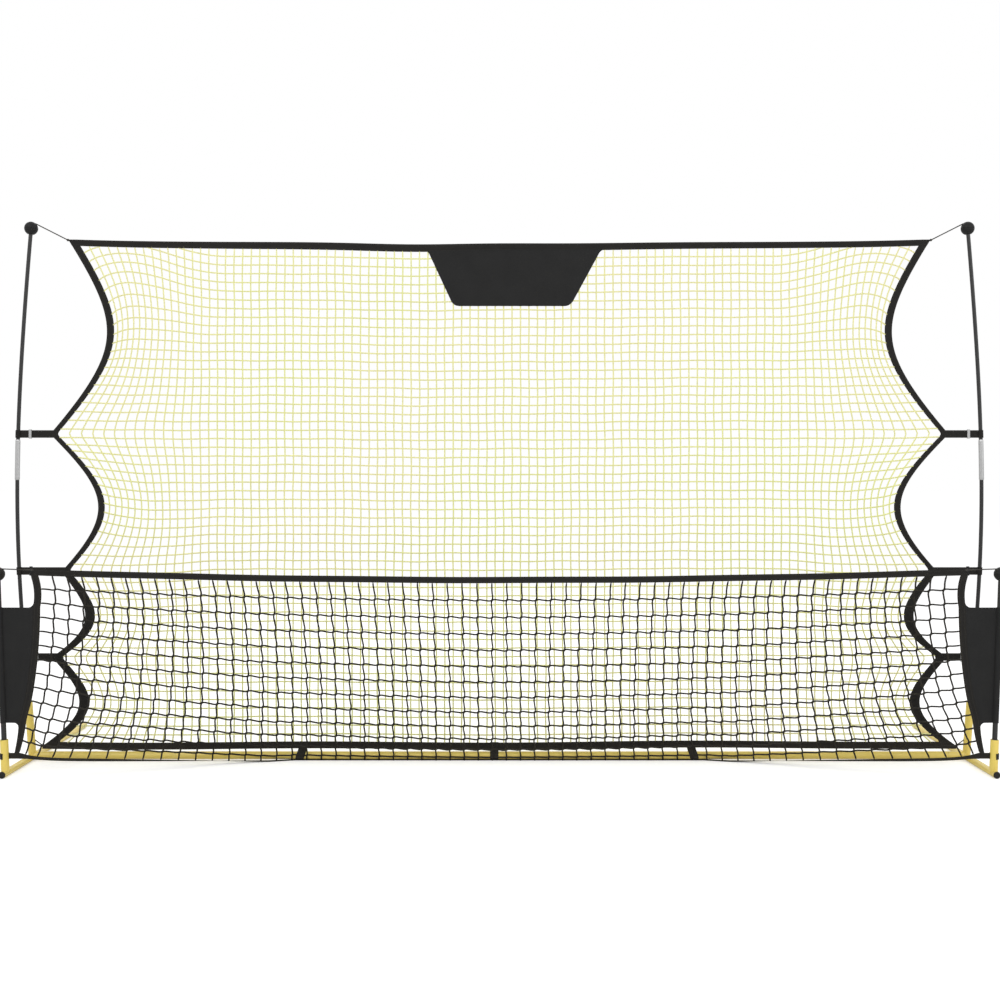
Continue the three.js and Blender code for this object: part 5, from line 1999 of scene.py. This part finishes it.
    def strip(
        self, name: str, path: Array, width: float, across: Array, node: str, thickness: float = 0.0022
    ) -> None:
        """A narrow band of webbing along a path, its width along the vectors across."""
        dress(strap_object(name, path, width, thickness, across), self.finishes.narrow_webbing, node)

    def top_border(self) -> None:
        """The top border in its shallow sag."""
        x = np.linspace(-self.top_half, self.top_half, 160)
        ripple = 0.0006 * np.sin(9 * x)
        z = self.top - self.top_width / 2 - self.drop(x) + ripple
        self.strip("low_top_band", points_at(x, LAYOUT.low_y, z), self.top_width, UP, "low_net_top_border")

    def bottom_border(self) -> None:
        """The bottom border, which turns from upright at its corners to flat under the crossbar."""
        end = float(LOW.at(self.loop_height)[0]) - LAYOUT.socket_radius
        bend = np.linspace(-1.0, 1.0, 400)
        x = end * np.sign(bend) * (1 - (1 - np.abs(bend)) ** 1.5)
        edge, down = self.foot(x)
        path = edge + down * self.bottom_width / 2
        node = "low_net_bottom_border"
        self.strip("low_bottom_band", path, self.bottom_width, down, node, self.flat_thickness)

    def side_width_at(self, height: Array) -> Array:
        """The side border's width: even beside the panel, less below it."""
        return np.interp(height, (self.bottom, self.panel_bottom), (self.side_foot, self.side_width))

    def side_border(self, side: Side) -> None:
        """A side border just outside the mesh, which laps over the bottom border.

        Args:
            side: The side it is on.
        """
        past_bottom, past_top, before_net = 0.006, 0.004, 0.0006
        height = np.linspace(self.bottom - past_bottom, self.mesh_top + past_top, 90)
        width = self.side_width_at(height)
        path = side.mirror(points_at(self.half(height) + width / 2 - self.lap, LAYOUT.low_y - before_net, height))
        sections = np.stack([strap_section(w, self.side_thickness) for w in width])
        rings = rings_on(path, sections, RIGHT)
        shell = Shell().carried(rings, lengths(path), closed_across(sections[-1]))
        name = f"low_net_side_border_{side}"
        dress(shell.made(f"low_side_band_{side}"), self.finishes.narrow_webbing, name)

    def end_panel(self, side: Side) -> None:
        """The cloth between the side border and the low pole, and its sleeve round the pole.

        Its top and bottom edges run into the side border in a round of radius r: at a distance d from the
        border they lie further out by r - sqrt(r^2 - (r - d)^2).

        Args:
            side: The side it is on.
        """
        share = np.linspace(0.0, 1.0, 34)[None] ** 1.6
        rise = np.linspace(0.0, 1.0, 60)[:, None]
        overlap, thickness, before_net, billow, r = 0.004, 0.0014, 0.0002, 0.0009, self.fillet
        height = self.panel_bottom + (self.panel_top - self.panel_bottom) * rise
        inner, pole = self.panel_sides(height + 0 * share, overlap)
        away = np.clip(r - np.maximum((pole - inner) * share - overlap, 0.0), 0.0, r)
        out = r - np.sqrt(r**2 - away**2)
        z = height + out * (2 * rise - 1)
        inner, pole = self.panel_sides(z, overlap)
        x = inner + (pole - inner) * share
        y = LAYOUT.low_y - before_net + billow * np.sin(math.pi * share) * np.sin(16 * height + 5 * share)
        front = side.mirror(points_at(x, y, z))
        front = front if side is Side.RIGHT else front[:, ::-1]
        piece = panel_object(f"low_end_cloth_{side}", front, thickness, -BACK)
        node = f"low_end_panel_{side}"
        dress(piece, self.finishes.cloth, node)
        foot, head = LOW.at(self.panel_bottom), LOW.at(self.panel_top)
        length, ease = float(np.linalg.norm(head - foot)), 0.0005
        profile = tube_profile(length, self.sleeve_radius, self.sleeve_bore, ease)
        shell = turned(Shell(), side.mirror(foot), side.mirror(LOW.way), profile)
        dress(shell.made(f"low_end_sleeve_{side}"), self.finishes.cloth, node)

    def panel_sides(self, height: Array, overlap: float) -> tuple[Array, Array]:
        """The two sides of the end cloth.

        Args:
            height: The heights.
            overlap: How far it goes in under the side border.

        Returns:
            The x where it starts, and that of the low pole's axis.
        """
        inner = self.half(height) + self.side_width_at(height) - self.lap - overlap
        pole = LAYOUT.half_span + (height - LAYOUT.side_axis) * math.tan(LOW.splay)
        return inner, pole

    def corner_loop(self, side: Side) -> None:
        """The loop of the bottom border: from behind round the low socket's outer side to its front.

        Args:
            side: The side it is on.
        """
        angle = np.radians(np.linspace(self.loop_from, self.loop_to, 56))
        path = side.mirror(LOW.at(self.loop_height) + self.loop_radius * points_at(np.cos(angle), np.sin(angle), 0.0))
        name, node, way = f"low_corner_loop_{side}", "low_net_bottom_border", side.mirror(LOW.way)
        self.strip(name, path, self.bottom_width, way, node, self.loop_thickness)

    def cord(self, side: Side) -> None:
        """The cord from the top corner to the cap of the low pole.

        Args:
            side: The side it is on.
        """
        start = np.array([self.top_half - 0.005, LAYOUT.low_y, self.top - 0.004])
        end = np.array([LOW.at(LAYOUT.low_cap_height)[0] - 0.0165, LAYOUT.low_y, self.top])
        tie_cord(self.finishes, f"low_top_cord_{side}", start, end, side)


# ---- pieces that keep their CAD shape


def dress_sliders(finishes: Finishes) -> None:
    """Gives the strap sliders, which keep their CAD shape, their moulded finish.

    Args:
        finishes: The object's finishes.
    """
    for name, coat in (("upper", finishes.slider), ("middle", finishes.plastic), ("lower", finishes.slider)):
        for side in Side:
            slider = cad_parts[f"{name}_strap_slider_{side}"]
            for slot in slider.material_slots:
                slot.material = coat.material
            log.info("%s: CAD shape kept", slider.name)


# ---- studio


@dataclass
class Studio:
    """Floor, backdrop, lamps and camera."""

    lens: float = 44.21
    eye: tuple[float, float, float] = (0.0, -4.964, 1.130)
    shift: tuple[float, float] = (0.0006, -0.0285)
    floor_half: float = 60.0

    def build(self) -> None:
        """Builds the floor, the light and the camera."""
        self.floor()
        self.world()
        self.lamp("key", (-3.2, -5.5, 5.2), 5.0, 150.0)
        self.lamp("fill", (4.6, -4.0, 3.4), 4.0, 70.0)
        self.lamp("back", (0.5, 4.5, 4.5), 5.0, 80.0)
        self.camera()

    def floor(self) -> None:
        """A wide white floor that shows white to the camera and keeps the object's shadow."""
        half = self.floor_half
        line = np.linspace(-half, half, 3)
        x, y = np.meshgrid(line, line)
        points = np.stack([x, y, np.zeros_like(x)], axis=-1)
        piece = Shell().grid(points, line, line).made("studio_floor")
        piece.data.flip_normals()
        material = bpy.data.materials.new("white floor")
        material.use_nodes = True
        graph = Graph(material.node_tree)
        shader = material.node_tree.nodes["Principled BSDF"]
        shader.inputs["Base Color"].default_value = (0.9, 0.9, 0.9, 1.0)
        shader.inputs["Roughness"].default_value = 0.9
        shader.inputs["Specular IOR Level"].default_value = 0.0
        shader.inputs["Emission Color"].default_value = (1.0, 1.0, 1.0, 1.0)
        seen = graph.add("ShaderNodeLightPath").outputs["Is Camera Ray"]
        graph.feed(shader.inputs["Emission Strength"], graph.math("MULTIPLY", seen, 0.36))
        piece.data.materials.append(material)

    def world(self) -> None:
        """An even white surround: plain white where it is seen, softer where it lights the object."""
        world = bpy.data.worlds.new("studio surround")
        bpy.context.scene.world = world
        world.use_nodes = True
        graph = Graph(world.node_tree)
        shade = world.node_tree.nodes["Background"]
        shade.inputs["Color"].default_value = (1.0, 1.0, 1.0, 1.0)
        path = graph.add("ShaderNodeLightPath")
        seen = graph.math("MAXIMUM", path.outputs["Is Camera Ray"], path.outputs["Is Transmission Ray"])
        seen = graph.math("MAXIMUM", seen, path.outputs["Is Glossy Ray"])
        graph.feed(shade.inputs["Strength"], graph.spread(seen, 0.72, 1.0))

    @staticmethod
    def lamp(name: str, place: tuple[float, float, float], size: float, power: float) -> None:
        """A square soft lamp aimed at the middle of the object.

        Args:
            name: Its name.
            place: Where it stands.
            size: Its side's length.
            power: Its power in watts.
        """
        data = bpy.data.lights.new(f"{name} lamp", "AREA")
        data.shape, data.size, data.energy = "SQUARE", size, power
        lamp = bpy.data.objects.new(f"{name}_lamp", data)
        lamp.location = place
        aim = np.array([0.0, 0.0, 0.9]) - np.array(place)
        flat = math.hypot(aim[0], aim[1])
        lamp.rotation_euler = (math.atan2(flat, -aim[2]), 0.0, math.atan2(-aim[0], aim[1]))
        bpy.context.scene.collection.objects.link(lamp)

    def camera(self) -> None:
        """A level camera in front of the low net."""
        data = bpy.data.cameras.new("camera")
        data.lens, data.sensor_width = self.lens, 36.0
        data.shift_x, data.shift_y = self.shift
        data.clip_start, data.clip_end = 0.05, 200.0
        eye = bpy.data.objects.new("camera", data)
        eye.location = self.eye
        eye.rotation_euler = (math.pi / 2, 0.0, 0.0)
        bpy.context.scene.collection.objects.link(eye)
        bpy.context.scene.camera = eye


def main() -> None:
    """Builds the object's looks and the studio round it."""
    logging.basicConfig(level=logging.INFO, format="%(message)s")
    bpy.context.scene.view_settings.view_transform = "Standard"
    Studio().build()
    finishes = Finishes.build()
    Base(finishes).build()
    Poles(finishes).build()
    TallNet(finishes).build()
    LowNet(finishes).build()
    dress_sliders(finishes)


if __name__ == "__main__":
    main()
